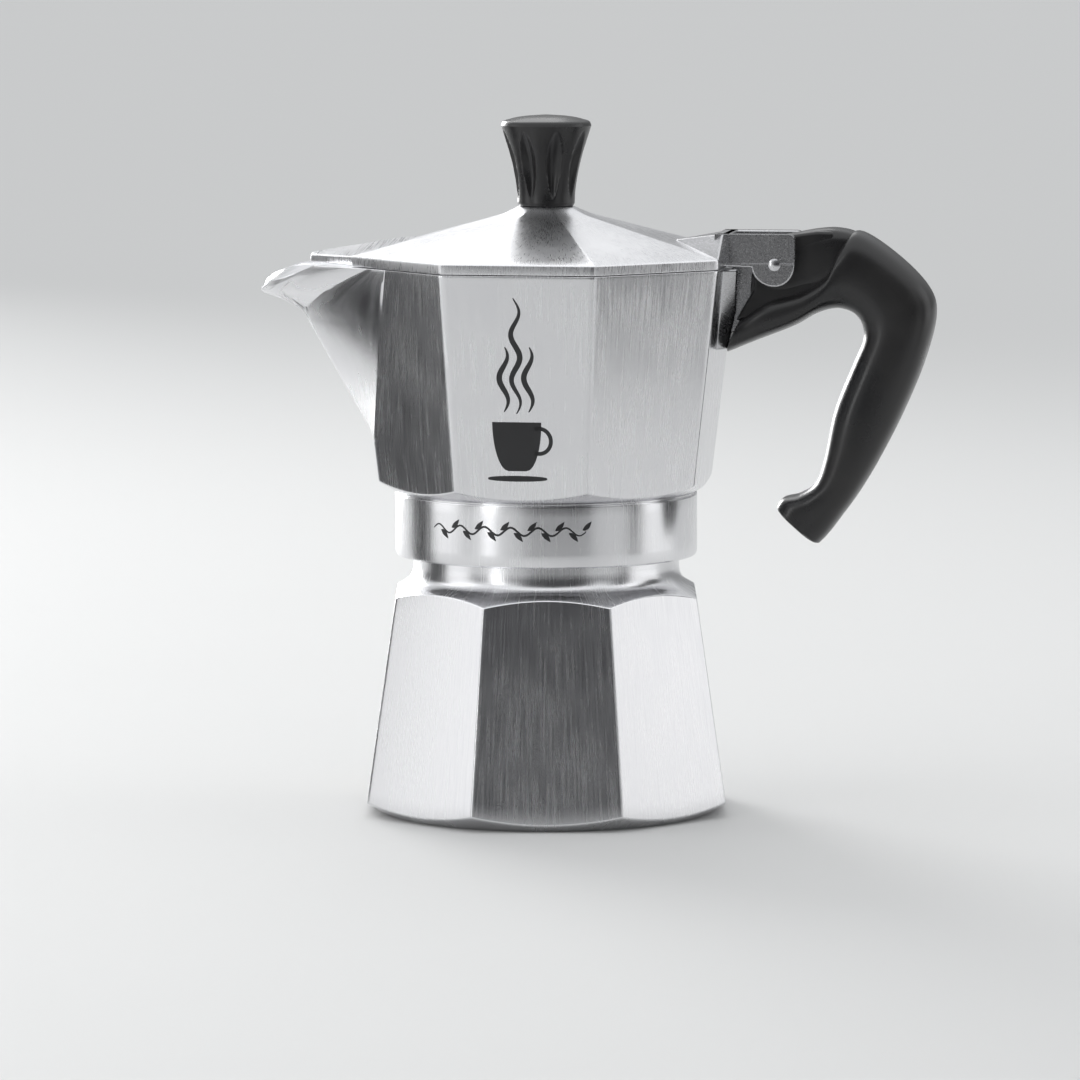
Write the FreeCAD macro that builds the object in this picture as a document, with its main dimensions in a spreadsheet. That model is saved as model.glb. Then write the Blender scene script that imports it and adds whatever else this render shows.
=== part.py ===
"""Stove-top moka pot for three cups, as a parametric FreeCAD document.

Frame: millimetres, +Z up, origin in the middle of the flat foot. The handle points along +X and
the spout along -X. The upper half's octagon has a flat face on each of these axes; the boiler's
octagon is turned a little about +Z, as the two halves end up when they are screwed together.
"""
import FreeCAD, Part
import math
import os
import re
import Sketcher

# alias: (value, what it is); millimetres, or degrees where it says so
SIZES = {
    # boiler
    "foot_radius": (38.46, "flat foot, out to where the turned bottom cone starts"),
    "base_corner_radius": (44.45, "octagon corner where the bottom cone meets it"),
    "base_corner_height": (3.46, "height of that corner"),
    "shoulder_corner_radius": (37.24, "octagon corner at the shoulder"),
    "shoulder_drop": (16.58, "that corner under the boiler's lip"),
    "shoulder_slope": (0.542, "rise of the turned shoulder per radial millimetre"),
    "shoulder_fillet": (2.7, "radial size of the hollow between shoulder and neck"),
    "neck_radius": (30.5, "plain neck under the thread"),
    "neck_wall": (3.5, "wall of the neck around the boiler's mouth"),
    "neck_length": (10.4, "straight neck with its thread"),
    "boiler_height": (66.8, "top of the boiler's lip"),
    "boiler_wall": (2.9, "side wall of the boiler"),
    "boiler_floor": (3.0, "floor of the boiler"),
    "boiler_turn": (9.0, "degrees between the two octagons"),
    "thread_depth": (1.5, "thread band standing out of the neck"),
    "thread_length": (6.6, "height of the thread band"),
    "thread_clearance": (0.4, "radial room between thread band and collar"),
    # safety valve
    "valve_height": (25.0, "valve axis above the foot"),
    "valve_face_angle": (135.0, "degrees from the boiler's first face to the valve's face"),
    "valve_shank_radius": (3.45, "shank through the wall"),
    "valve_hex_radius": (7.0, "hexagon across corners, half"),
    "valve_hex_height": (3.5, "thickness of the hexagon"),
    "valve_nose_radius": (4.5, "round nose outside the hexagon"),
    "valve_nose_length": (4.0, "length of the nose"),
    "valve_shank_length": (6.0, "shank from the wall's outside inwards"),
    "valve_chamber_radius": (3.05, "spring chamber"),
    "valve_port_radius": (1.2, "steam port"),
    "valve_washer_thickness": (0.7, "sealing washer under the hexagon"),
    "valve_disc_radius": (2.2, "sealing disc of the stem"),
    "valve_disc_height": (1.0, "thickness of the disc"),
    "valve_rod_radius": (0.8, "rod of the stem"),
    "valve_rod_end": (10.0, "outer end of the rod above the wall"),
    "valve_cap_height": (1.2, "thickness of the retainer"),
    "spring_wire": (0.3, "radius of the spring's wire"),
    "spring_turns": (5.0, "turns of the spring"),
    # funnel
    "flange_inset": (2.4, "flange of the funnel inside the thread band's radius"),
    "flange_height": (1.0, "thickness of the flange"),
    "basket_clearance": (0.4, "radial room between basket and mouth"),
    "basket_wall": (0.8, "sheet thickness of the funnel"),
    "basket_depth": (15.2, "straight depth of the basket under the flange"),
    "basket_cone": (4.6, "height of the cone under the basket"),
    "tube_radius": (4.5, "funnel tube outside"),
    "tube_wall": (0.8, "wall of the tube"),
    "tube_socket": (3.6, "overlap of tube and socket"),
    "tube_floor_gap": (4.0, "tube's lower end above the boiler's floor"),
    "screen_thickness": (0.6, "perforated sheets"),
    "screen_hole": (0.8, "radius of a perforation"),
    # seal
    "gasket_gap": (0.3, "room between flange and gasket"),
    "gasket_thickness": (3.3, "rubber ring"),
    "gasket_overlap": (0.4, "gasket reaching inside the mouth's radius"),
    "filter_inset": (3.5, "filter plate inside the thread band's radius"),
    "filter_recess": (0.3, "radial and axial room around the filter plate"),
    # collector
    "collar_wall": (2.32, "wall of the turned collar around its thread"),
    "collar_overlap": (7.73, "collar reaching under the boiler's lip"),
    "collar_height": (14.68, "height of the collar"),
    "bowl_corner_radius": (39.4, "collector octagon corner at the bottom"),
    "bowl_corner_rise": (2.8, "that corner above the collar"),
    "bowl_slope": (0.543, "rise of the turned underside per radial millimetre"),
    "rim_corner_radius": (45.5, "collector octagon corner at the rim"),
    "bowl_height": (49.25, "rim above the bottom corner"),
    "bowl_wall": (2.4, "wall of the collector"),
    "floor_rise": (4.25, "collector's floor above the collar"),
    "column_foot_radius": (6.2, "column at the floor"),
    "column_top_radius": (4.6, "column at its tip"),
    "column_bore": (3.2, "bore of the column"),
    "column_drop": (10.8, "tip of the column under the rim"),
    "outlet_width": (3.0, "slot for the coffee near the tip"),
    "outlet_height": (4.5, "height of that slot"),
    # spout
    "spout_root_rise": (3.45, "where the ridge leaves the face, above the bottom corner"),
    "spout_overhang": (24.26, "tip of the spout outside its face"),
    "spout_tip_drop": (7.1, "that tip under the rim"),
    "spout_flare_drop": (4.4, "start of the ridge's flare under the tip"),
    "spout_flare_length": (9.3, "level length of the flare"),
    "spout_flank": (9.4, "spout reaching past the face's corners at the rim"),
    "spout_wall": (2.0, "wall of the spout"),
    # hinge
    "hinge_offset": (11.76, "pin axis outside the rim's face"),
    "hinge_rise": (0.9, "pin axis above the rim"),
    "pin_radius": (1.4, "hinge pin"),
    "pin_clearance": (0.05, "running fit of the pin"),
    "pin_overhang": (0.5, "pin standing out of each ear"),
    "lug_half_width": (2.5, "half thickness of the cast lug"),
    "lug_radius": (4.4, "lug around the pin"),
    "lug_clearance": (0.25, "room between lug and handle"),
    "neck_half_width": (6.0, "half width of the handle between the ears"),
    "ear_gap": (0.3, "room between handle and ears"),
    "ear_half_span": (9.0, "half of the width over the ears"),
    "ear_radius": (5.1, "ear around the pin"),
    "arm_rise": (7.8, "flat top of the lid's arm above the rim"),
    # lid
    "lid_seat_gap": (0.14, "room between rim and lid"),
    "lid_overhang": (0.03, "lid octagon corner outside the collector's"),
    "lid_band": (2.27, "height of the lid's edge band"),
    "lid_slope": (0.28, "rise of the facets per radial millimetre"),
    "lid_wall": (2.0, "thickness of the lid"),
    "lid_boss_radius": (6.2, "flat boss under the knob"),
    "lid_boss_step": (1.1, "boss above the facets"),
    "roof_flat": (7.1, "half width of the facets' upper end"),
    "beak_overhang": (12.56, "lid cover over the spout, outside its face"),
    # knob
    "knob_foot_radius": (6.55, "knob at its foot"),
    "knob_waist_radius": (7.3, "knob at half height"),
    "knob_rim_radius": (10.35, "knob at its widest"),
    "knob_height": (20.85, "knob from foot to top"),
    "knob_crown": (1.8, "crown above the widest place"),
    "flute_radius": (3.0, "scallops around the knob"),
    "flute_depth": (0.9, "depth of the scallops"),
    "screw_radius": (2.0, "knob screw"),
    "screw_head_radius": (4.0, "head of the knob screw"),
    "screw_head_height": (2.0, "height of that head"),
    "screw_engagement": (9.0, "screw inside the knob"),
    "fit_gap": (0.05, "room between pieces that are fastened together"),
    # handle
    "handle_half_width": (8.5, "half width of the grip"),
    "grip_reach": (36.0, "farthest point of the grip from the pin axis"),
}

# places and sizes that follow from the driving ones
DERIVED = {
    "shoulder_corner_height": "boiler_height - shoulder_drop",
    "shoulder_inner_radius": "neck_radius + shoulder_fillet",
    "neck_bore": "neck_radius - neck_wall",
    "neck_start_height": "boiler_height - neck_length",
    "thread_radius": "neck_radius + thread_depth",
    "flange_radius": "thread_radius - flange_inset",
    "gasket_inner": "neck_bore - gasket_overlap",
    "filter_radius": "thread_radius - filter_inset",
    "collar_radius": "thread_radius + thread_clearance + collar_wall",
    "collar_bottom": "boiler_height - collar_overlap",
    "collar_top": "collar_bottom + collar_height",
    "bowl_corner_height": "collar_top + bowl_corner_rise",
    "rim_height": "bowl_corner_height + bowl_height",
    "bowl_floor": "collar_top + floor_rise",
    "column_height": "rim_height - column_drop",
    "rim_apothem": "rim_corner_radius * cos(22.5)",
    "spout_root_height": "bowl_corner_height + spout_root_rise",
    "spout_reach": "rim_apothem + spout_overhang",
    "spout_tip_height": "rim_height - spout_tip_drop",
    "spout_flare_height": "spout_tip_height - spout_flare_drop",
    "spout_flare_reach": "spout_reach - spout_flare_length",
    "spout_half_width": "rim_corner_radius * sin(22.5) + spout_flank",
    "hinge_reach": "rim_apothem + hinge_offset",
    "hinge_height": "rim_height + hinge_rise",
    "arm_top": "rim_height + arm_rise",
    "lid_corner_radius": "rim_corner_radius + lid_overhang",
    "lid_bottom": "rim_height + lid_seat_gap",
    "lid_edge": "lid_bottom + lid_band",
    "roof_height": "lid_edge + (lid_corner_radius * cos(22.5) - roof_flat) * lid_slope",
    "lid_boss_height": "roof_height + lid_boss_step",
    "beak_reach": "rim_apothem + beak_overhang",
    "pot_height": "lid_boss_height + fit_gap + knob_height",
    "knob_rim_height": "pot_height - knob_crown",
    "handle_reach": "hinge_reach + grip_reach",
}

doc = FreeCAD.newDocument("moka_pot")
sheet = doc.addObject("Spreadsheet::Sheet", "Sizes")


def fill_sheet():
    """Write every driving size into the sheet: its meaning, its number and its alias."""
    for row, (alias, (size, meaning)) in enumerate(SIZES.items(), start=1):
        sheet.set(f"A{row}", meaning)
        sheet.set(f"B{row}", str(size))
        sheet.setAlias(f"B{row}", alias)
    doc.recompute()


def bound(text):
    """Turn a formula of plain size names into an expression that reads the sheet."""

    def spell(match):
        word = match[0]
        if word in DERIVED:
            return f"({bound(DERIVED[word])})"
        return "Sizes." + word if word in SIZES else word

    return re.sub(r"[a-z][a-z_]+", spell, str(text))


def number(text):
    """The present value of a formula."""
    return float(sheet.evalExpression(bound(text)))


def drive(thing, **formulas):
    """Bind properties of an object to formulas; a double underscore stands for a dot."""
    for name, formula in formulas.items():
        thing.setExpression(name.replace("__", "."), bound(formula))
    return thing


def primitive(kind, name, **formulas):
    """A Part primitive bound to the sheet."""
    return drive(doc.addObject("Part::" + kind, name), **formulas)


def across(thing):
    """Lay a cylinder that stands along Z along Y instead, keeping its bound centre."""
    thing.Placement.Rotation = FreeCAD.Rotation(FreeCAD.Vector(1, 0, 0), -90)
    return thing


def combine(kind, name, base, tool):
    """Part::Cut, Part::Fuse or Part::Common of two objects."""
    result = doc.addObject("Part::" + kind, name)
    result.Base = base
    result.Tool = tool
    return result


def fuse_all(name, shapes):
    """One fused solid of several objects."""
    result = doc.addObject("Part::MultiFuse", name)
    result.Shapes = shapes
    return result


def origin_plane(body, role):
    """One of a body's own origin planes."""
    return next(f for f in body.Origin.OriginFeatures if f.Role == role)


def outline_sketch(body, name, role, points):
    """A closed outline of straight edges whose corners are all bound to the sheet."""
    sketch = body.newObject("Sketcher::SketchObject", name)
    sketch.AttachmentSupport = (origin_plane(body, role), [""])
    sketch.MapMode = "FlatFace"
    corners = [FreeCAD.Vector(number(a), number(b), 0) for a, b in points]
    count = len(corners)
    for i in range(count):
        sketch.addGeometry(Part.LineSegment(corners[i], corners[(i + 1) % count]))
    for i in range(count):
        sketch.addConstraint(Sketcher.Constraint("Coincident", i, 2, (i + 1) % count, 1))
    for i, (across_text, up_text) in enumerate(points):
        corner = corners[i]
        for kind, text, size in (("DistanceX", across_text, corner.x), ("DistanceY", up_text, corner.y)):
            index = sketch.addConstraint(Sketcher.Constraint(kind, -1, 1, i, 1, size))
            sketch.setExpression(f"Constraints[{index}]", bound(text))
    return sketch


def turned(name, points):
    """A turned piece: an outline of (radius, height) corners revolved about Z."""
    body = doc.addObject("PartDesign::Body", name)
    sketch = outline_sketch(body, name + "_outline", "XZ_Plane", points)
    revolution = body.newObject("PartDesign::Revolution", name + "_turn")
    revolution.Profile = sketch
    revolution.ReferenceAxis = (sketch, ["V_Axis"])
    revolution.Angle = 360
    body.Tip = revolution
    return body


def plate(name, points, half_width):
    """A flat piece in the XZ plane, as thick to each side as half_width says."""
    body = doc.addObject("PartDesign::Body", name)
    sketch = outline_sketch(body, name + "_outline", "XZ_Plane", points)
    pad = body.newObject("PartDesign::Pad", name + "_pad")
    pad.Profile = sketch
    pad.SideType = "Symmetric"
    drive(pad, Length="2 * " + half_width)
    body.Tip = pad
    return body


def octagon(name, corner_radius, height, first_corner):
    """A level octagon; first_corner is the angle of one corner in degrees."""
    ring = primitive("RegularPolygon", name, Circumradius=corner_radius, Placement__Base__z=height)
    ring.Polygon = 8
    ring.setExpression("Placement.Rotation.Angle", bound(first_corner))
    return ring


def frustum(name, low, high, first_corner="22.5"):
    """An octagonal frustum between two (corner radius, height) pairs."""
    loft = doc.addObject("Part::Loft", name)
    loft.Sections = [
        octagon(name + "_low", low[0], low[1], first_corner),
        octagon(name + "_high", high[0], high[1], first_corner),
    ]
    loft.Solid = True
    loft.Ruled = True
    return loft


def ruled_hull(name, sections):
    """A solid with straight rulings through closed sections, each a list of (x, y, z) formulas."""
    loft = doc.addObject("Part::Loft", name)
    rings = []
    for place, section in enumerate(sections):
        ring = doc.addObject("Part::Feature", f"{name}_section_{place}")
        corners = [FreeCAD.Vector(*(number(text) for text in corner)) for corner in section]
        ring.Shape = Part.makePolygon(corners + corners[:1])
        rings.append(ring)
    loft.Sections = rings
    loft.Solid = True
    loft.Ruled = True
    return loft


def finish(thing, label):
    """Name a finished sub-part; its label names its file."""
    thing.Label = label
    FINISHED.append(thing)
    return thing


FINISHED = []

BOILER_LEAN = "(base_corner_radius - shoulder_corner_radius) / (shoulder_corner_height - base_corner_height)"
BOWL_LEAN = "(rim_corner_radius - bowl_corner_radius) / (rim_height - bowl_corner_height)"
BOTTOM_RISE = "(base_corner_height / (base_corner_radius - foot_radius))"
HALF_FACE = "cos(22.5)"


def boiler_corner(height):
    """Corner radius of the boiler's octagon at a height."""
    return f"base_corner_radius - {BOILER_LEAN} * ({height} - base_corner_height)"


def bowl_corner(height):
    """Corner radius of the collector's octagon at a height."""
    return f"bowl_corner_radius + {BOWL_LEAN} * ({height} - bowl_corner_height)"


def valve_placement():
    """Where the valve stands: its local Z is the outward normal of its face."""
    turn = number("boiler_turn + valve_face_angle")
    lean = math.degrees(math.atan(number(BOILER_LEAN + " * cos(22.5)")))
    apothem = number(boiler_corner("valve_height")) * math.cos(math.radians(22.5))
    aim = FreeCAD.Rotation(FreeCAD.Vector(0, 0, 1), turn)
    tilt = FreeCAD.Rotation(FreeCAD.Vector(0, 1, 0), 90 - lean)
    base = aim.multVec(FreeCAD.Vector(apothem, 0, number("valve_height")))
    return FreeCAD.Placement(base, aim.multiply(tilt))


def make_boiler():
    """Cast boiler: leaning octagon, turned foot cone and shoulder, threaded neck, valve hole."""
    low_ring = (boiler_corner("0"), "0")
    high_ring = (boiler_corner("collar_bottom"), "collar_bottom")
    prism = frustum("boiler_prism", low_ring, high_ring, "boiler_turn + 22.5")
    wide = "base_corner_radius + 5"
    envelope = turned("boiler_envelope", [
        ("0", "0"),
        ("foot_radius", "0"),
        (wide, f"({wide} - foot_radius) * {BOTTOM_RISE}"),
        (wide, f"shoulder_corner_height - ({wide} - shoulder_corner_radius) * shoulder_slope"),
        ("shoulder_inner_radius",
         "shoulder_corner_height + (shoulder_corner_radius - shoulder_inner_radius) * shoulder_slope"),
        ("(shoulder_inner_radius + 2 * neck_radius) / 3", "neck_start_height - 1.6"),
        ("neck_radius", "neck_start_height"),
        ("neck_radius", "collar_bottom - 0.4"),
        ("0", "collar_bottom - 0.4"),
    ])
    jacket = combine("Common", "boiler_jacket", prism, envelope)
    neck = turned("boiler_neck", [
        ("0", "neck_start_height - 3"),
        ("neck_radius", "neck_start_height - 3"),
        ("neck_radius", "boiler_height - thread_length"),
        ("thread_radius", "boiler_height - thread_length + 1"),
        ("thread_radius", "boiler_height - 1"),
        ("thread_radius - 1", "boiler_height"),
        ("0", "boiler_height"),
    ])
    low = "base_corner_height"
    high = "shoulder_corner_height - 1.2"
    inside = turned("boiler_inside", [
        ("0", "boiler_floor"),
        (f"({boiler_corner(low)}) * {HALF_FACE} - boiler_wall - 1", "boiler_floor"),
        (f"({boiler_corner(low)}) * {HALF_FACE} - boiler_wall", "boiler_floor + 1.4"),
        (f"({boiler_corner(high)}) * {HALF_FACE} - boiler_wall", high),
        ("neck_bore", "shoulder_corner_height + 3.4"),
        ("neck_bore", "boiler_height + 1"),
        ("0", "boiler_height + 1"),
    ])
    hole = primitive("Cylinder", "valve_hole", Radius="valve_shank_radius + fit_gap", Height="20")
    through = FreeCAD.Placement(FreeCAD.Vector(0, 0, -10), FreeCAD.Rotation())
    hole.Placement = valve_placement().multiply(through)
    whole = combine("Fuse", "boiler_whole", jacket, neck)
    hollow = combine("Cut", "boiler_hollow", whole, inside)
    finish(combine("Cut", "boiler_shell", hollow, hole), "boiler")


def make_valve():
    """Safety valve: hexagonal body, washer, stem with its disc, spring and retainer."""
    seat = "valve_washer_thickness + 2 * fit_gap"
    nose_end = f"({seat} + valve_hex_height + valve_nose_length)"
    chamber_floor = f"({seat} + 0.3)"
    core = turned("valve_core", [
        ("valve_port_radius", "-valve_shank_length"),
        ("valve_shank_radius", "-valve_shank_length"),
        ("valve_shank_radius", seat),
        ("valve_nose_radius", seat),
        ("valve_nose_radius", nose_end),
        ("valve_chamber_radius", nose_end),
        ("valve_chamber_radius", chamber_floor),
        ("valve_port_radius", chamber_floor),
    ])
    hexagon = primitive("Prism", "valve_hexagon", Circumradius="valve_hex_radius", Height="valve_hex_height",
                        Placement__Base__z=seat)
    hexagon.Polygon = 6
    bore = primitive("Cylinder", "valve_hex_bore", Radius="valve_nose_radius - 0.5", Height="30")
    nut = combine("Cut", "valve_nut", hexagon, bore)
    body = combine("Fuse", "valve_shell", core, nut)
    washer = turned("valve_ring", [
        ("valve_shank_radius + fit_gap", "fit_gap"),
        ("valve_hex_radius - 0.4", "fit_gap"),
        ("valve_hex_radius - 0.4", "fit_gap + valve_washer_thickness"),
        ("valve_shank_radius + fit_gap", "fit_gap + valve_washer_thickness"),
    ])
    disc_top = f"({chamber_floor} + fit_gap + valve_disc_height)"
    stem = turned("valve_plunger", [
        ("0", f"{chamber_floor} + fit_gap"),
        ("valve_disc_radius", f"{chamber_floor} + fit_gap"),
        ("valve_disc_radius", disc_top),
        ("valve_rod_radius", disc_top),
        ("valve_rod_radius", "valve_rod_end"),
        ("0", "valve_rod_end"),
    ])
    cap_floor = f"({nose_end} - valve_cap_height - 0.2)"
    retainer = turned("valve_cap", [
        ("valve_rod_radius + 0.25", cap_floor),
        ("valve_chamber_radius - fit_gap", cap_floor),
        ("valve_chamber_radius - fit_gap", f"{cap_floor} + valve_cap_height"),
        ("valve_rod_radius + 0.25", f"{cap_floor} + valve_cap_height"),
    ])
    coil_radius = "(valve_rod_radius + 0.2 + valve_chamber_radius - 0.2) / 2"
    coil_height = f"({cap_floor} - {disc_top} - 2 * spring_wire - 0.3)"
    helix = primitive("Helix", "spring_path", Radius=coil_radius, Height=coil_height,
                      Pitch=f"{coil_height} / spring_turns",
                      Placement__Base__z=f"{disc_top} + spring_wire + 0.15")
    wire = primitive("Circle", "spring_section", Radius="spring_wire", Placement__Base__x=coil_radius,
                     Placement__Base__z=f"{disc_top} + spring_wire + 0.15")
    across(wire)
    spring = doc.addObject("Part::Sweep", "spring_coil")
    spring.Sections = [wire]
    spring.Spine = (helix, ["Edge1"])
    spring.Solid = True
    spring.Frenet = True
    place = valve_placement()
    for thing, label in ((body, "valve_body"), (washer, "valve_washer"), (stem, "valve_stem"),
                         (retainer, "valve_retainer"), (spring, "valve_spring")):
        thing.Placement = place
        finish(thing, label)


def perforated_disc(name, radius, bottom, rings):
    """A thin turned sheet with rings of round holes; rings are (radius formula, number of holes)."""
    body = turned(name, [("0", bottom), (radius, bottom), (radius, f"{bottom} + screen_thickness"),
                         ("0", f"{bottom} + screen_thickness")])
    for ring_radius, count in rings:
        sketch = body.newObject("Sketcher::SketchObject", f"{name}_hole_{count}")
        sketch.AttachmentSupport = (origin_plane(body, "XY_Plane"), [""])
        sketch.MapMode = "FlatFace"
        centre = FreeCAD.Vector(number(ring_radius), 0, 0)
        sketch.addGeometry(Part.Circle(centre, FreeCAD.Vector(0, 0, 1), number("screen_hole")))
        sketch.addConstraint(Sketcher.Constraint("PointOnObject", 0, 3, -1))
        place = sketch.addConstraint(Sketcher.Constraint("DistanceX", -1, 1, 0, 3, centre.x))
        sketch.setExpression(f"Constraints[{place}]", bound(ring_radius))
        width = sketch.addConstraint(Sketcher.Constraint("Radius", 0, number("screen_hole")))
        sketch.setExpression(f"Constraints[{width}]", bound("screen_hole"))
        pocket = body.newObject("PartDesign::Pocket", f"{name}_pocket_{count}")
        pocket.Profile = sketch
        pocket.Type = "ThroughAll"
        pocket.SideType = "Symmetric"
        pattern = body.newObject("PartDesign::PolarPattern", f"{name}_pattern_{count}")
        pattern.Originals = [pocket]
        pattern.Axis = (sketch, ["N_Axis"])
        pattern.Angle = 360
        pattern.Occurrences = count
        body.Tip = pattern
    return body


FLANGE_BOTTOM = "(boiler_height + 2 * fit_gap)"
BASKET_RADIUS = "(neck_bore - basket_clearance)"
BASKET_FLOOR = f"({FLANGE_BOTTOM} - basket_depth)"


def make_funnel():
    """Coffee funnel: pressed basket with its flange, perforated floor and the water tube."""
    basket = turned("funnel_cup", [
        ("flange_radius", FLANGE_BOTTOM),
        ("flange_radius", f"{FLANGE_BOTTOM} + flange_height"),
        (f"{BASKET_RADIUS} - basket_wall", f"{FLANGE_BOTTOM} + flange_height"),
        (f"{BASKET_RADIUS} - basket_wall", BASKET_FLOOR),
        ("tube_radius + fit_gap", f"{BASKET_FLOOR} - basket_cone"),
        ("tube_radius + fit_gap", f"{BASKET_FLOOR} - basket_cone - tube_socket"),
        ("tube_radius + fit_gap + basket_wall", f"{BASKET_FLOOR} - basket_cone - tube_socket"),
        ("tube_radius + fit_gap + basket_wall", f"{BASKET_FLOOR} - basket_cone - basket_wall"),
        (BASKET_RADIUS, f"{BASKET_FLOOR} - basket_wall"),
        (BASKET_RADIUS, FLANGE_BOTTOM),
    ])
    finish(basket, "funnel_basket")
    tube_top = f"({BASKET_FLOOR} - basket_cone)"
    tube = turned("funnel_pipe", [
        ("tube_radius - tube_wall", "boiler_floor + tube_floor_gap"),
        ("tube_radius", "boiler_floor + tube_floor_gap"),
        ("tube_radius", tube_top),
        ("tube_radius - tube_wall", tube_top),
    ])
    finish(tube, "funnel_tube")
    screen_radius = f"{BASKET_RADIUS} - basket_wall - fit_gap"
    screen = perforated_disc("funnel_sieve", screen_radius, f"({BASKET_FLOOR} + fit_gap)", [
        ("flange_radius * 0.2", 6),
        ("flange_radius * 0.4", 12),
        ("flange_radius * 0.6", 18),
    ])
    finish(screen, "funnel_screen")


GASKET_BOTTOM = f"({FLANGE_BOTTOM} + flange_height + gasket_gap)"
GASKET_TOP = f"({GASKET_BOTTOM} + gasket_thickness)"
BORE_RADIUS = "(thread_radius + thread_clearance)"
PLATE_BOTTOM = f"({GASKET_TOP} + fit_gap)"
UNDERSIDE = f"({PLATE_BOTTOM} + screen_thickness + fit_gap)"


def make_seal():
    """Rubber gasket and the filter plate that it holds up in the collector."""
    gasket = turned("seal_ring", [
        ("gasket_inner", GASKET_BOTTOM),
        (f"{BORE_RADIUS} - filter_recess", GASKET_BOTTOM),
        (f"{BORE_RADIUS} - filter_recess", GASKET_TOP),
        ("gasket_inner", GASKET_TOP),
    ])
    finish(gasket, "gasket")
    plate_body = perforated_disc("filter_sheet", "filter_radius", PLATE_BOTTOM, [
        ("filter_radius * 0.16", 6),
        ("filter_radius * 0.32", 12),
        ("filter_radius * 0.5", 18),
        ("filter_radius * 0.68", 24),
    ])
    finish(plate_body, "filter_plate")


def spout_sections(wall):
    """Triangles of the V-shaped spout from its root upwards, moved inwards by a wall."""
    tip = f"({wall}) * 1.6"
    floor = f"({wall}) * 0.75"
    root = f"({bowl_corner('spout_root_height')}) * {HALF_FACE}"
    elbow = "(spout_root_height + 6)"
    elbow_face = f"({bowl_corner(elbow)}) * {HALF_FACE}"
    elbow_reach = f"({root} + 6 * (spout_flare_reach - {root}) / (spout_flare_height - spout_root_height))"

    def section(height, reach, back, half_width):
        apex = (f"-({reach}) + {tip}", "0", f"{height} + {floor}")
        near = (f"-({back}) + {wall}", f"-({half_width}) + {wall}", f"{height} + {floor}")
        far = (f"-({back}) + {wall}", f"{half_width} - {wall}", f"{height} + {floor}")
        return [apex, near, far]

    return [
        section("spout_root_height + 1.5", f"{root} + 0.9", f"{root} - 2.5", "3.4"),
        section(elbow, elbow_reach, f"{elbow_face} - 1.5", f"({bowl_corner(elbow)}) * sin(22.5) - 1"),
        section("spout_flare_height", "spout_flare_reach", "rim_apothem - 11.6", "spout_half_width - 1.4"),
        section("spout_flare_height + 2.2", "spout_flare_reach + 3", "rim_apothem - 12.2",
                "spout_half_width - 0.6"),
        section("spout_tip_height", "spout_reach", "rim_apothem - 13", "spout_half_width + 1.0"),
        section("rim_height + 2", "spout_reach + 3.6", "rim_apothem - 14.4", "spout_half_width + 3.5"),
    ]


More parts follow.
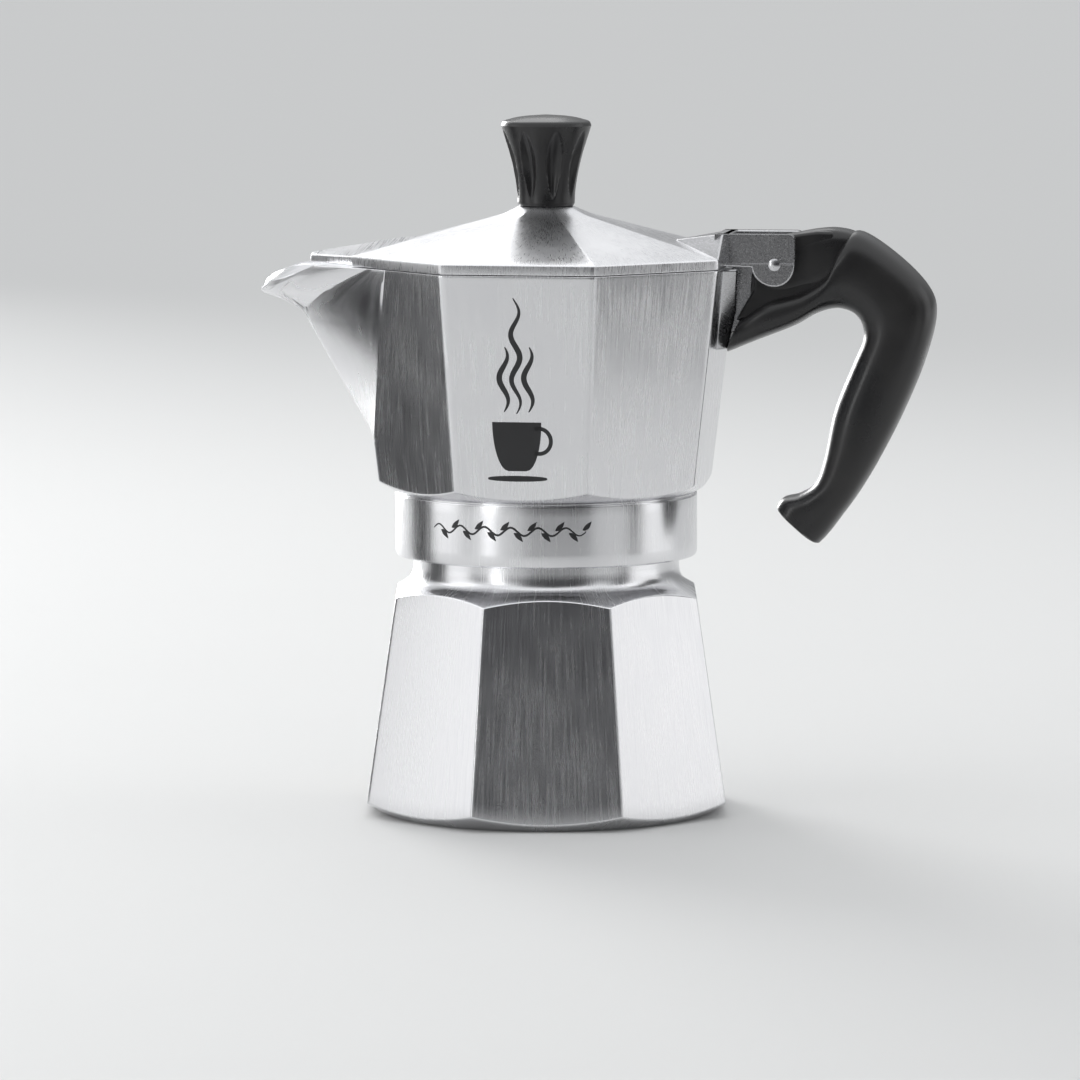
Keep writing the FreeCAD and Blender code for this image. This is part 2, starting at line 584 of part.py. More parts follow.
def make_collector():
    """Cast collector: bowl, collar, spout and hinge lug in one piece."""
    prism = frustum("bowl_prism", (bowl_corner("collar_top - 4"), "collar_top - 4"),
                    ("rim_corner_radius", "rim_height"))
    beak = ruled_hull("spout_outside", spout_sections("0"))
    rim_trim = plate("spout_trim", [
        ("-spout_reach - 12", "spout_tip_height - 0.2"),
        ("-spout_reach", "spout_tip_height - 0.2"),
        ("-spout_reach + 1.8", "spout_tip_height + 3.1"),
        ("-spout_reach + 3.9", "spout_tip_height + 4.8"),
        ("-spout_reach + 6.7", "rim_height - 0.9"),
        ("-spout_reach + 11", "rim_height"),
        ("rim_corner_radius", "rim_height"),
        ("rim_corner_radius", "rim_height + 20"),
        ("-spout_reach - 12", "rim_height + 20"),
    ], "spout_reach")
    cast = combine("Fuse", "bowl_cast", prism, beak)
    trimmed = combine("Cut", "bowl_trimmed", cast, rim_trim)
    wide = "spout_reach + 12"
    envelope = turned("bowl_envelope", [
        ("0", "collar_top - 1"),
        ("collar_radius", "collar_top - 1"),
        ("collar_radius", "bowl_corner_height - (bowl_corner_radius - collar_radius) * bowl_slope"),
        (wide, f"bowl_corner_height + ({wide} - bowl_corner_radius) * bowl_slope"),
        (wide, "rim_height + 1"),
        ("0", "rim_height + 1"),
    ])
    bowl = combine("Common", "bowl_outside", trimmed, envelope)
    wall = f"bowl_wall / {HALF_FACE}"
    cavity = frustum("bowl_cavity", (f"{bowl_corner('bowl_floor')} - {wall}", "bowl_floor"),
                     (f"{bowl_corner('rim_height + 4')} - {wall}", "rim_height + 4"))
    channel = ruled_hull("spout_inside", spout_sections("spout_wall"))
    hollow = combine("Fuse", "bowl_hollow", cavity, channel)
    shell = combine("Cut", "bowl_shell", bowl, hollow)
    collar = turned("collar_ring", [
        ("0", "collar_bottom"),
        ("collar_radius - 1", "collar_bottom"),
        ("collar_radius", "collar_bottom + 1"),
        ("collar_radius", "collar_top - 0.6"),
        ("collar_radius - 0.6", "collar_top"),
        ("0", "collar_top"),
    ])
    lug = plate("hinge_lug", [
        ("rim_apothem - 2.4", "hinge_height - 24"),
        ("hinge_reach - 8.4", "hinge_height - 16"),
        ("hinge_reach + 2.2", "hinge_height - 5.4"),
        ("hinge_reach + lug_radius", "hinge_height - 1.8"),
        ("hinge_reach + lug_radius", "hinge_height + 1.8"),
        ("hinge_reach + 1.8", "hinge_height + lug_radius"),
        ("hinge_reach - 1.8", "hinge_height + lug_radius"),
        ("hinge_reach - lug_radius", "hinge_height + 1.8"),
        ("rim_apothem - 1.2", "rim_height - 1.6"),
        ("rim_apothem - 1.4", "rim_height - 12"),
    ], "lug_half_width")
    casting = fuse_all("collector_casting", [shell, collar, lug])
    underside = turned("collector_underside", [
        ("0", "collar_bottom - 1"),
        (BORE_RADIUS, "collar_bottom - 1"),
        (BORE_RADIUS, PLATE_BOTTOM),
        ("filter_radius + filter_recess", PLATE_BOTTOM),
        ("filter_radius + filter_recess", UNDERSIDE),
        ("filter_radius - 2", UNDERSIDE),
        ("column_foot_radius - 1.2", f"{UNDERSIDE} + 2.4"),
        ("column_foot_radius - 1.2", "bowl_floor + 1"),
        ("0", "bowl_floor + 1"),
    ])
    bored = combine("Cut", "collector_bored", casting, underside)
    finish(combine("Cut", "collector_casting_done", bored, pin_bore("lug_pin_bore")), "collector")


def make_column():
    """Coffee column pressed into the collector's floor, closed at its tip, with two outlet slots."""
    mouth = f"{UNDERSIDE} + 2.4"
    tube = turned("column_tube", [
        ("column_bore + 1", mouth),
        ("column_foot_radius - 1.2", mouth),
        ("column_foot_radius - 1.2", "bowl_floor"),
        ("column_foot_radius + 3", "bowl_floor"),
        ("column_foot_radius", "bowl_floor + 4"),
        ("column_top_radius", "column_height - 1"),
        ("column_top_radius - 1", "column_height"),
        ("0", "column_height"),
        ("0", "column_height - 2"),
        ("column_bore", "column_height - 2"),
        ("column_bore", f"{mouth} + 1"),
    ])
    outlet = primitive("Box", "column_outlet", Length="outlet_width", Width="4 * column_top_radius",
                       Height="outlet_height", Placement__Base__x="-outlet_width / 2",
                       Placement__Base__y="-2 * column_top_radius",
                       Placement__Base__z="column_height - 3 - outlet_height")
    finish(combine("Cut", "column_slotted", tube, outlet), "coffee_column")


def pin_bore(name):
    """The hole for the hinge pin, through everything."""
    bore = primitive("Cylinder", name, Radius="pin_radius + pin_clearance", Height="60",
                     Placement__Base__x="hinge_reach", Placement__Base__y="-30",
                     Placement__Base__z="hinge_height")
    return across(bore)


def make_lid():
    """Cast lid: edge band, eight facets, boss, cover over the spout and hinge arm."""
    band = frustum("lid_band_prism", ("lid_corner_radius", "lid_bottom"), ("lid_corner_radius", "lid_edge"))
    top = "roof_height"
    top_corner = f"roof_flat / {HALF_FACE}"
    roof = frustum("lid_roof", ("lid_corner_radius", "lid_edge"), (top_corner, top))
    boss = primitive("Cylinder", "lid_boss", Radius="lid_boss_radius", Height="3",
                     Placement__Base__z="lid_boss_height - 3")
    inner = f"(lid_corner_radius - bowl_wall / {HALF_FACE})"
    ceiling = f"(lid_edge - lid_wall + (lid_corner_radius - {inner}) * {HALF_FACE} * lid_slope)"
    hollow_band = frustum("lid_hollow_band", (inner, "lid_bottom - 1"), (inner, ceiling))
    roof_top = f"({top} - lid_wall)"
    hollow_corner = f"{inner} - ({roof_top} - {ceiling}) / lid_slope / {HALF_FACE}"
    hollow_roof = frustum("lid_hollow_roof", (inner, ceiling), (hollow_corner, roof_top))
    root = "12.04 - rim_apothem"
    flank = "spout_half_width - 1.3"
    beak = ruled_hull("lid_beak", [
        [(root, f"-({flank})", "lid_bottom"), (root, f"-({flank})", "lid_edge"), (root, "0", "lid_edge + 4"),
         (root, flank, "lid_edge"), (root, flank, "lid_bottom")],
        [("-beak_reach", "-1.8", "lid_bottom"), ("-beak_reach", "-1.8", "lid_bottom + 1.0"),
         ("-beak_reach", "0", "lid_bottom + 1.7"), ("-beak_reach", "1.8", "lid_bottom + 1.0"),
         ("-beak_reach", "1.8", "lid_bottom")],
    ])
    ramp_foot = "lid_corner_radius * cos(22.5)"
    ramp_side = "lid_corner_radius * sin(22.5)"
    start = "hinge_reach - 23.8"
    middle = "hinge_reach - 16.8"
    ramp = ruled_hull("lid_ramp", [
        [(start, "-0.8", "lid_edge + 0.8"), (start, "-0.4", "lid_edge + 3.3"), (start, "0.4", "lid_edge + 3.3"),
         (start, "0.8", "lid_edge + 0.8")],
        [(middle, "-10.2", "lid_bottom"), (middle, "-5.4", "arm_top - 0.2"), (middle, "5.4", "arm_top - 0.2"),
         (middle, "10.2", "lid_bottom")],
        [(ramp_foot, f"-({ramp_side})", "lid_edge - 1.5"), (ramp_foot, "-ear_half_span", "arm_top"),
         (ramp_foot, "ear_half_span", "arm_top"), (ramp_foot, ramp_side, "lid_edge - 1.5")],
    ])
    arm = plate("lid_arm", [
        ("rim_apothem - 2", "lid_bottom"),
        ("hinge_reach - 9", "lid_bottom"),
        ("hinge_reach - ear_radius * 0.82", "hinge_height - ear_radius * 0.58"),
        ("hinge_reach - ear_radius * 0.42", "hinge_height - ear_radius * 0.92"),
        ("hinge_reach + ear_radius * 0.34", "hinge_height - ear_radius * 0.96"),
        ("hinge_reach + ear_radius * 0.8", "hinge_height - ear_radius * 0.6"),
        ("hinge_reach + ear_radius * 0.9", "hinge_height"),
        ("hinge_reach + ear_radius * 0.9", "arm_top - 1.3"),
        ("hinge_reach + ear_radius * 0.68", "arm_top"),
        ("rim_apothem - 2", "arm_top"),
    ], "ear_half_span")
    slot = primitive("Box", "lid_arm_slot", Length="30", Width="2 * (neck_half_width + ear_gap)", Height="40",
                     Placement__Base__x="hinge_reach - 10.2", Placement__Base__y="-neck_half_width - ear_gap",
                     Placement__Base__z="hinge_height - 20")
    bore = primitive("Cylinder", "lid_screw_bore", Radius="screw_radius + fit_gap", Height="60",
                     Placement__Base__z="rim_height - 10")
    shell = combine("Cut", "lid_shell", combine("Fuse", "lid_cap", band, roof),
                    combine("Fuse", "lid_hollow", hollow_band, hollow_roof))
    joined = fuse_all("lid_joined", [shell, boss, beak, ramp, arm])
    cut = combine("Cut", "lid_slotted", joined, slot)
    bored = combine("Cut", "lid_bored", cut, bore)
    finish(combine("Cut", "lid_done", bored, pin_bore("lid_pin_bore")), "lid")
    return roof_top


def make_knob(ceiling):
    """Scalloped knob with the screw and washer that hold it on the lid."""
    base = "(lid_boss_height + fit_gap)"
    grip = turned("knob_grip", [
        ("0", base),
        ("knob_foot_radius - 0.5", base),
        ("knob_foot_radius", f"{base} + 0.5"),
        ("knob_waist_radius", f"{base} + 6.4"),
        ("knob_rim_radius - 0.7", "knob_rim_height - 3"),
        ("knob_rim_radius", "knob_rim_height - 0.6"),
        ("knob_rim_radius - 0.6", "knob_rim_height + 0.5"),
        ("knob_rim_radius * 0.6", "pot_height - 0.5"),
        ("0", "pot_height"),
    ])
    flutes = []
    for step in range(8):
        flute = primitive("Cylinder", f"knob_flute_{step}", Radius="flute_radius", Height="14")
        spin = FreeCAD.Rotation(FreeCAD.Vector(0, 0, 1), 22.5 + 45 * step)
        lean = FreeCAD.Rotation(FreeCAD.Vector(0, 1, 0), 12)
        reach = number("knob_foot_radius + flute_radius - flute_depth")
        flute.Placement = FreeCAD.Placement(
            spin.multVec(FreeCAD.Vector(reach, 0, number("lid_boss_height + 2"))), spin.multiply(lean))
        flutes.append(flute)
    scalloped = combine("Cut", "knob_scalloped", grip, fuse_all("knob_flutes", flutes))
    bore = primitive("Cylinder", "knob_bore", Radius="screw_radius + fit_gap",
                     Height="screw_engagement + 1.5", Placement__Base__z="lid_boss_height - 1")
    finish(combine("Cut", "knob_bored", scalloped, bore), "knob")
    washer_top = f"({ceiling} - fit_gap)"
    washer = turned("knob_disc", [
        ("screw_radius + fit_gap", f"{washer_top} - 0.8"),
        ("lid_boss_radius - 0.4", f"{washer_top} - 0.8"),
        ("lid_boss_radius - 0.4", washer_top),
        ("screw_radius + fit_gap", washer_top),
    ])
    finish(washer, "knob_washer")
    head_top = f"({washer_top} - 0.8 - fit_gap)"
    screw = turned("knob_bolt", [
        ("0", f"{head_top} - screw_head_height"),
        ("screw_head_radius * 0.8", f"{head_top} - screw_head_height"),
        ("screw_head_radius", f"{head_top} - screw_head_height * 0.6"),
        ("screw_head_radius", head_top),
        ("screw_radius", head_top),
        ("screw_radius", "lid_boss_height + screw_engagement"),
        ("0", "lid_boss_height + screw_engagement"),
    ])
    finish(screw, "knob_screw")


def grip_outline():
    """The grip's side view: a smooth outer and inner curve joined by its two ends."""
    reach = number("handle_reach")
    hinge = FreeCAD.Vector(number("hinge_reach"), 0, number("hinge_height"))
    outer = [(-21.6, 8.2), (-17.4, 7.3), (-8.9, 1.9), (-1.6, -5.3), (0, -10.8), (-2.6, -22.3), (-9.2, -39.2),
             (-18.8, -54.4), (-26.2, -64.1)]
    inner = [(-36.1, -55.4), (-29.6, -52.3), (-25.9, -47.7), (-23.6, -36), (-19.9, -25.5), (-16.6, -18.1),
             (-17.4, -12.4), (-22.1, -10.2), (-29, -12.5), (-40, -17.4), (-47.4, -20.4)]
    front = [(-43.9, -12.2), (-42.2, -8.6), (-31.4, -7.0), (-24.4, -2.8), (-22.1, 4.0)]
    place = lambda point: FreeCAD.Vector(reach + point[0], 0, hinge.z + point[1])
    curve_out = Part.BSplineCurve()
    curve_out.interpolate([place(p) for p in outer])
    curve_in = Part.BSplineCurve()
    curve_in.interpolate([place(p) for p in inner])
    edges = [curve_out.toShape(), Part.makeLine(place(outer[-1]), place(inner[0])), curve_in.toShape()]
    corners = [inner[-1]] + front + [outer[0]]
    edges += [Part.makeLine(place(a), place(b)) for a, b in zip(corners, corners[1:])]
    return Part.Wire(edges)


def make_handle():
    """Moulded handle: wide grip, narrow neck between the lid's ears, slot for the lug."""
    half = number("handle_half_width")
    blank = doc.addObject("Part::Feature", "grip_blank")
    face = Part.Face(grip_outline())
    face.translate(FreeCAD.Vector(0, -half, 0))
    solid = face.extrude(FreeCAD.Vector(0, 2 * half, 0))
    blank.Shape = solid
    neck = plate("handle_neck", [
        ("hinge_reach - 9.6", "hinge_height - 13"),
        ("hinge_reach - 5.4", "hinge_height - 6"),
        ("hinge_reach - 5.6", "hinge_height + 2.4"),
        ("hinge_reach - 2.6", "hinge_height + 5.6"),
        ("hinge_reach + 2.9", "arm_top - 0.1"),
        ("hinge_reach + 9.2", "arm_top + 0.9"),
        ("hinge_reach + 14.6", "arm_top + 1.1"),
        ("hinge_reach + 16", "hinge_height - 6"),
        ("hinge_reach + 6", "hinge_height - 11"),
    ], "neck_half_width")
    whole = combine("Fuse", "handle_whole", blank, neck)
    slot = primitive("Box", "handle_slot", Length="15.2 + lug_radius",
                     Width="2 * (lug_half_width + lug_clearance)",
                     Height="24 + lug_radius + 2 * lug_clearance", Placement__Base__x="hinge_reach - 14.8",
                     Placement__Base__y="-lug_half_width - lug_clearance",
                     Placement__Base__z="hinge_height - 24")
    slotted = combine("Cut", "handle_slotted", whole, slot)
    finish(combine("Cut", "handle_done", slotted, pin_bore("handle_pin_bore")), "handle")


def make_hinge_pin():
    """The pin through ears, handle and lug."""
    pin = primitive("Cylinder", "hinge_rod", Radius="pin_radius", Height="2 * (ear_half_span + pin_overhang)",
                    Placement__Base__x="hinge_reach", Placement__Base__y="-ear_half_span - pin_overhang",
                    Placement__Base__z="hinge_height")
    finish(across(pin), "hinge_pin")


def check_document():
    """Stop if any object failed or any finished piece is not a valid solid."""
    for thing in doc.Objects:
        if "Invalid" in thing.State or "Error" in thing.State:
            raise RuntimeError(f"{thing.Name} failed: {thing.State}")
    for piece in FINISHED:
        shape = piece.Shape
        if shape.isNull() or not shape.isValid():
            raise RuntimeError(f"{piece.Label} has no valid shape")


def write_parts():
    """Write each finished piece as parts/LABEL.step."""
    os.makedirs("parts", exist_ok=True)
    for piece in FINISHED:
        piece.Shape.exportStep(os.path.join("parts", piece.Label + ".step"))
        box = piece.Shape.BoundBox
        print(f"{piece.Label:16s} solids {len(piece.Shape.Solids)} volume {piece.Shape.Volume:9.1f} "
              f"x {box.XMin:7.2f} {box.XMax:7.2f} z {box.ZMin:7.2f} {box.ZMax:7.2f}")


fill_sheet()
make_boiler()
make_valve()
make_funnel()
make_seal()
make_collector()
make_column()
make_knob(make_lid())
make_handle()
make_hinge_pin()
doc.recompute()
check_document()
write_parts()
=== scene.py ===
"""Visual model of an octagonal stove-top moka pot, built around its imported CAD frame.

Every new piece is a closed surface worked out with numpy: a profile of corner rows is carried around
the pot's axis or along a path, in millimetres, and stored in metres. Places are in the CAD's own frame:
origin under the middle of the foot, +Z up, the handle towards +X and the spout towards -X.
"""
import logging
import math
from collections.abc import Callable, Sequence
from dataclasses import dataclass
from enum import Enum

import bmesh
import bpy
import numpy as np
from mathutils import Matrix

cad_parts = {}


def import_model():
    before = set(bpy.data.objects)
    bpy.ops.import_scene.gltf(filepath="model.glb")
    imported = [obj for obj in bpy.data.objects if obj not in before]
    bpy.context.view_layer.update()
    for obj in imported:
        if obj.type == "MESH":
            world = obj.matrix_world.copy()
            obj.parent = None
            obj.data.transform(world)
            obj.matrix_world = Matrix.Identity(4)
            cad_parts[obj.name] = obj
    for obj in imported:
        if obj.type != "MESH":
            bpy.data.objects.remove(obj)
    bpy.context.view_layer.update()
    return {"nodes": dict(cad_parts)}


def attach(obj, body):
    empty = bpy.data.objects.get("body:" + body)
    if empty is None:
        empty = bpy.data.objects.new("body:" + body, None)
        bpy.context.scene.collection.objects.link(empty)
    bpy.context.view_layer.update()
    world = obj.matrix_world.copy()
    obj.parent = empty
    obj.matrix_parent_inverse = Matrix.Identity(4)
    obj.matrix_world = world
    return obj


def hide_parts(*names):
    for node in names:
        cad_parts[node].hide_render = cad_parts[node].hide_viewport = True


LOG = logging.getLogger("moka_pot")
MM = 0.001
CORNER = 22.5  # angle in degrees from the middle of an octagon's face to its corner
HALF_FACE = math.radians(CORNER)
GRAIN_PER_DEGREE = 0.7  # length of the UV map in millimetres for each degree around a casting
PIN_X, PIN_Z = 53.8, 126.7  # axis of the lid's hinge, parallel to Y
Array = np.ndarray


class Band(Enum):
    """Which finish a band of faces has on a casting: its material slot number."""

    BRUSHED = 0
    TURNED = 1
    CAST = 2


# ---------------------------------------------------------------- surfaces


@dataclass(frozen=True)
class Row:
    """One corner row of a surface.

    points: (columns, 3) array in millimetres.
    rounding: distance over which the corner is rounded along the profile.
    steps: number of bands up to the next row.
    band: finish of the bands that follow.
    """

    points: Array
    rounding: float = 0.0
    steps: int = 1
    band: Band = Band.TURNED


def as_points(*columns: Array | float) -> Array:
    """Columns of numbers side by side, one point in each row."""
    return np.stack(np.broadcast_arrays(*columns), axis=1)


def toward(start: Array, end: Array, distance: float) -> Array:
    """Points a distance from start on the way to end, but at most 45 % of the way.

    Args:
        start: (points, 3) places to leave from.
        end: (points, 3) places to head for.
        distance: how far to go, in millimetres.

    Returns:
        The (points, 3) places reached.
    """
    gap = end - start
    length = np.maximum(np.linalg.norm(gap, axis=1, keepdims=True), 1e-9)
    return start + gap / length * np.minimum(distance, 0.45 * length)


def carry(rows: Sequence[Row], arc: int = 4) -> tuple[Array, Array]:
    """Turn corner rows into a grid, with each rounded corner as a quadratic arc.

    The arc from a to b around corner p is (1-t)^2 a + 2t(1-t) p + t^2 b.

    Args:
        rows: corner rows from one end of the profile to the other.
        arc: bands in each rounded corner.

    Returns:
        The grid as (rows, columns, 3) and the band number of each strip between two rows.
    """
    grid: list[Array] = []
    bands: list[int] = []
    for place, row in enumerate(rows):
        inner = 0 < place < len(rows) - 1
        if inner and row.rounding > 0:
            begin = toward(row.points, rows[place - 1].points, row.rounding)
            end = toward(row.points, rows[place + 1].points, row.rounding)
            steps = [t / arc for t in range(arc + 1)]
            grid += [(1 - t) ** 2 * begin + 2 * t * (1 - t) * row.points + t * t * end for t in steps]
            bands += [row.band.value] * arc
        else:
            grid.append(row.points)
        if place == len(rows) - 1:
            break
        following = rows[place + 1]
        goal = following.points
        if following.rounding > 0 and place + 1 < len(rows) - 1:
            goal = toward(following.points, row.points, following.rounding)
        last = grid[-1]
        grid += [last + (goal - last) * k / row.steps for k in range(1, row.steps)]
        bands += [row.band.value] * row.steps
    return np.array(grid), np.array(bands)


def is_point(ring: Array) -> bool:
    """Whether all points of a ring are the same."""
    return bool(np.ptp(ring, axis=0).max() < 1e-6)


def skin(name: str, grid: Array, bands: Array | None = None, around: Array | None = None,
         sharp: float = 24.0) -> bpy.types.Object:
    """Make a mesh object of a grid whose columns close on themselves and whose end rows are poles.

    Args:
        name: name of the piece.
        grid: (rows, columns, 3) in millimetres; a first or last row of one point becomes a pole.
        bands: material slot of each strip.
        around: (columns + 1) lengths around the piece for the UV map, in millimetres.
        sharp: edges that turn by more degrees than this are shaded sharp.

    Returns:
        The new object, at the origin.
    """
    rows, columns = grid.shape[:2]
    bands = np.zeros(rows - 1, int) if bands is None else bands
    around = np.linspace(0, 120, columns + 1) if around is None else around
    along = np.concatenate([[0.0], np.cumsum(np.linalg.norm(np.diff(grid, axis=0), axis=2).mean(axis=1))])
    first, last = is_point(grid[0]), is_point(grid[-1])
    number = np.arange(rows * columns).reshape(rows, columns)
    if first:
        number -= columns - 1
        number[0] = 0
    points = grid.reshape(-1, 3)[(columns - 1) * first:]
    if last:
        number[-1] = number[-1, 0]
        points = points[:number[-1, 0] + 1]
    step = np.arange(columns)
    after = (step + 1) % columns
    faces: list[list[int]] = []
    coords: list[Array] = []
    slots: list[Array] = []
    for strip in range(rows - 1):
        low, high = number[strip], number[strip + 1]
        corner = [low[step], low[after], high[after], high[step]]
        u = [around[step], around[step + 1], around[step + 1], around[step]]
        v = [along[strip], along[strip], along[strip + 1], along[strip + 1]]
        keep = [0, 1, 2, 3]
        if strip == 0 and first:
            keep = [0, 2, 3]
        if strip == rows - 2 and last:
            keep = [0, 1, 2]
        faces += np.stack([corner[k] for k in keep], axis=1).tolist()
        uv = np.stack([np.stack([u[k], np.full(columns, v[k])], axis=1) for k in keep], axis=1)
        coords.append(uv.reshape(-1, 2))
        slots.append(np.full(columns, bands[strip]))
    mesh = bpy.data.meshes.new(name)
    mesh.from_pydata((points * MM).tolist(), [], faces)
    mesh.uv_layers.new(name="UVMap").data.foreach_set("uv", (np.concatenate(coords) * MM).ravel())
    mesh.polygons.foreach_set("material_index", np.concatenate(slots).astype(np.int32))
    return wrap(name, mesh, sharp)


def wrap(name: str, mesh: bpy.types.Mesh, sharp: float) -> bpy.types.Object:
    """Close a mesh, turn its faces outwards, shade it and put it in the scene as an object.

    Args:
        name: name of the piece.
        mesh: the mesh, with doubled points where its seams meet.
        sharp: edges that turn by more degrees than this are shaded sharp.

    Returns:
        The new object, at the origin.
    """
    shape = bmesh.new()
    shape.from_mesh(mesh)
    bmesh.ops.remove_doubles(shape, verts=shape.verts, dist=1e-7)
    bmesh.ops.recalc_face_normals(shape, faces=shape.faces)
    shape.to_mesh(mesh)
    shape.free()
    mesh.shade_smooth()
    mesh.set_sharp_from_angle(angle=math.radians(sharp))
    thing = bpy.data.objects.new(name, mesh)
    bpy.context.scene.collection.objects.link(thing)
    return thing


def fuse(name: str, parts: Sequence[bpy.types.Object]) -> bpy.types.Object:
    """Join several closed objects into one piece.

    Args:
        name: name of the joined piece.
        parts: the objects; the first one stays and takes in the others.

    Returns:
        The joined object.
    """
    bpy.ops.object.select_all(action="DESELECT")
    for part in parts:
        part.select_set(True)
    bpy.context.view_layer.objects.active = parts[0]
    bpy.ops.object.join()
    parts[0].name = name
    return parts[0]


def soften(thing: bpy.types.Object, width: float) -> bpy.types.Object:
    """Round a piece's sharp edges with an applied bevel.

    Args:
        thing: the piece.
        width: width of the bevel in millimetres.

    Returns:
        The same piece.
    """
    bevel = thing.modifiers.new("Edges", "BEVEL")
    bevel.width = width * MM
    bevel.segments = 3
    bevel.limit_method = "ANGLE"
    bevel.angle_limit = math.radians(28)
    bevel.harden_normals = True
    apply_modifiers(thing)
    return thing


def apply_modifiers(thing: bpy.types.Object) -> None:
    """Replace a piece's mesh by its evaluated mesh and drop its modifiers.

    Args:
        thing: the piece.
    """
    graph = bpy.context.evaluated_depsgraph_get()
    mesh = bpy.data.meshes.new_from_object(thing.evaluated_get(graph))
    thing.modifiers.clear()
    thing.data = mesh


def octagon(angle: Array, face: float, rounding: float) -> Array:
    """Radius of an octagon of apothem 1 at angles in degrees.

    A face is 1/cos(a) with a counted from its middle. Near a corner the radius is that of a circle of
    the given rounding: c cos(b) + sqrt(r^2 - c^2 sin^2(b)), with b counted from the corner.

    Args:
        angle: angles in degrees.
        face: angle of the middle of one face.
        rounding: radius of the corners over the apothem.

    Returns:
        The radii.
    """
    local = np.radians(np.mod(angle - face + CORNER, 2 * CORNER) - CORNER)
    flat = 1 / np.cos(local)
    centre = (1 - rounding) / math.cos(HALF_FACE)
    turn = HALF_FACE - np.abs(local)
    inside = np.maximum(rounding**2 - (centre * np.sin(turn)) ** 2, 0)
    bend = centre * np.cos(turn) + np.sqrt(inside)
    return np.where(np.abs(np.tan(local)) > (1 - rounding) * math.tan(HALF_FACE), bend, flat)


def ring_angles(face: float, per_face: int) -> Array:
    """Angles around an octagon, close together near its corners: -cos(pi t) from corner to corner.

    Args:
        face: angle of the middle of one face, in degrees.
        per_face: columns on each face.

    Returns:
        The angles in degrees, going once round.
    """
    t = np.arange(per_face) / per_face
    local = -CORNER * np.cos(np.pi * t)
    return (face + 2 * CORNER * np.arange(8)[:, None] + local[None, :]).ravel()


def turned(angle: Array, radius: Array | float, height: Array | float) -> Array:
    """Points at angles in degrees, with a radius and a height each."""
    turn = np.radians(angle)
    return as_points(radius * np.cos(turn), radius * np.sin(turn), height)


def smooth_path(knots: Sequence[Sequence[float]], count: int) -> Array:
    """A Catmull-Rom curve through rows of knots, evenly sampled in its parameter.

    Each span is ((2p1) + (p2-p0)t + (2p0-5p1+4p2-p3)t^2 + (3p1-p0-3p2+p3)t^3) / 2.

    Args:
        knots: rows of numbers that the curve passes through.
        count: number of samples.

    Returns:
        The samples as (count, numbers in a knot).
    """
    p = np.asarray(knots, float)
    p = np.concatenate([[2 * p[0] - p[1]], p, [2 * p[-1] - p[-2]]])
    s = np.linspace(0, len(knots) - 1, count)
    k = np.minimum(s.astype(int), len(knots) - 2)
    t = (s - k)[:, None]
    a, b, c, d = p[k], p[k + 1], p[k + 2], p[k + 3]
    return (2 * b + (c - a) * t + (2 * a - 5 * b + 4 * c - d) * t**2 + (3 * b - a - 3 * c + d) * t**3) / 2


def ribbed_hull(name: str, sections: Sequence[Sequence[Sequence[float]]], width: float) -> bpy.types.Object:
    """A closed faceted solid through flat sections with equal numbers of corners, its edges rounded.

    Args:
        name: name of the piece.
        sections: rings of (x, y, z) corners in millimetres, from one end to the other.
        width: rounding of its edges in millimetres.

    Returns:
        The new object.
    """
    rings = np.array(sections, float)
    count, sides = rings.shape[:2]
    number = np.arange(count * sides).reshape(count, sides)
    after = np.roll(number, -1, axis=1)
    strips = np.stack([number[:-1], after[:-1], after[1:], number[1:]], axis=2).reshape(-1, 4)
    faces = strips.tolist() + [number[0].tolist(), number[-1].tolist()]
    mesh = bpy.data.meshes.new(name)
    mesh.from_pydata((rings.reshape(-1, 3) * MM).tolist(), [], faces)
    flat = rings.reshape(-1, 3)[np.concatenate(faces)][:, [0, 2]]
    mesh.uv_layers.new(name="UVMap").data.foreach_set("uv", (flat * MM).ravel())
    return soften(wrap(name, mesh, 24), width)


def slab(name: str, outline: Array, low: float, high: float, width: float) -> bpy.types.Object:
    """A plate parallel to XZ.

    Args:
        name: name of the piece.
        outline: (points, 2) corners as (x, z).
        low: Y of one side.
        high: Y of the other side.
        width: rounding of its edges in millimetres.

    Returns:
        The new object.
    """
    sections = [[(x, y, z) for x, z in outline] for y in sorted((low, high))]
    return ribbed_hull(name, sections, width)


def gable(x: float, half_width: float, low: float, eave: float, ridge: float) -> list[tuple[float, ...]]:
    """A five-cornered section across X: upright sides from low to the eaves and a ridge in the middle."""
    half = [(x, -half_width, low), (x, -half_width, eave), (x, 0.0, ridge)]
    return half + [(x, half_width, eave), (x, half_width, low)]


# ---------------------------------------------------------------- finishes


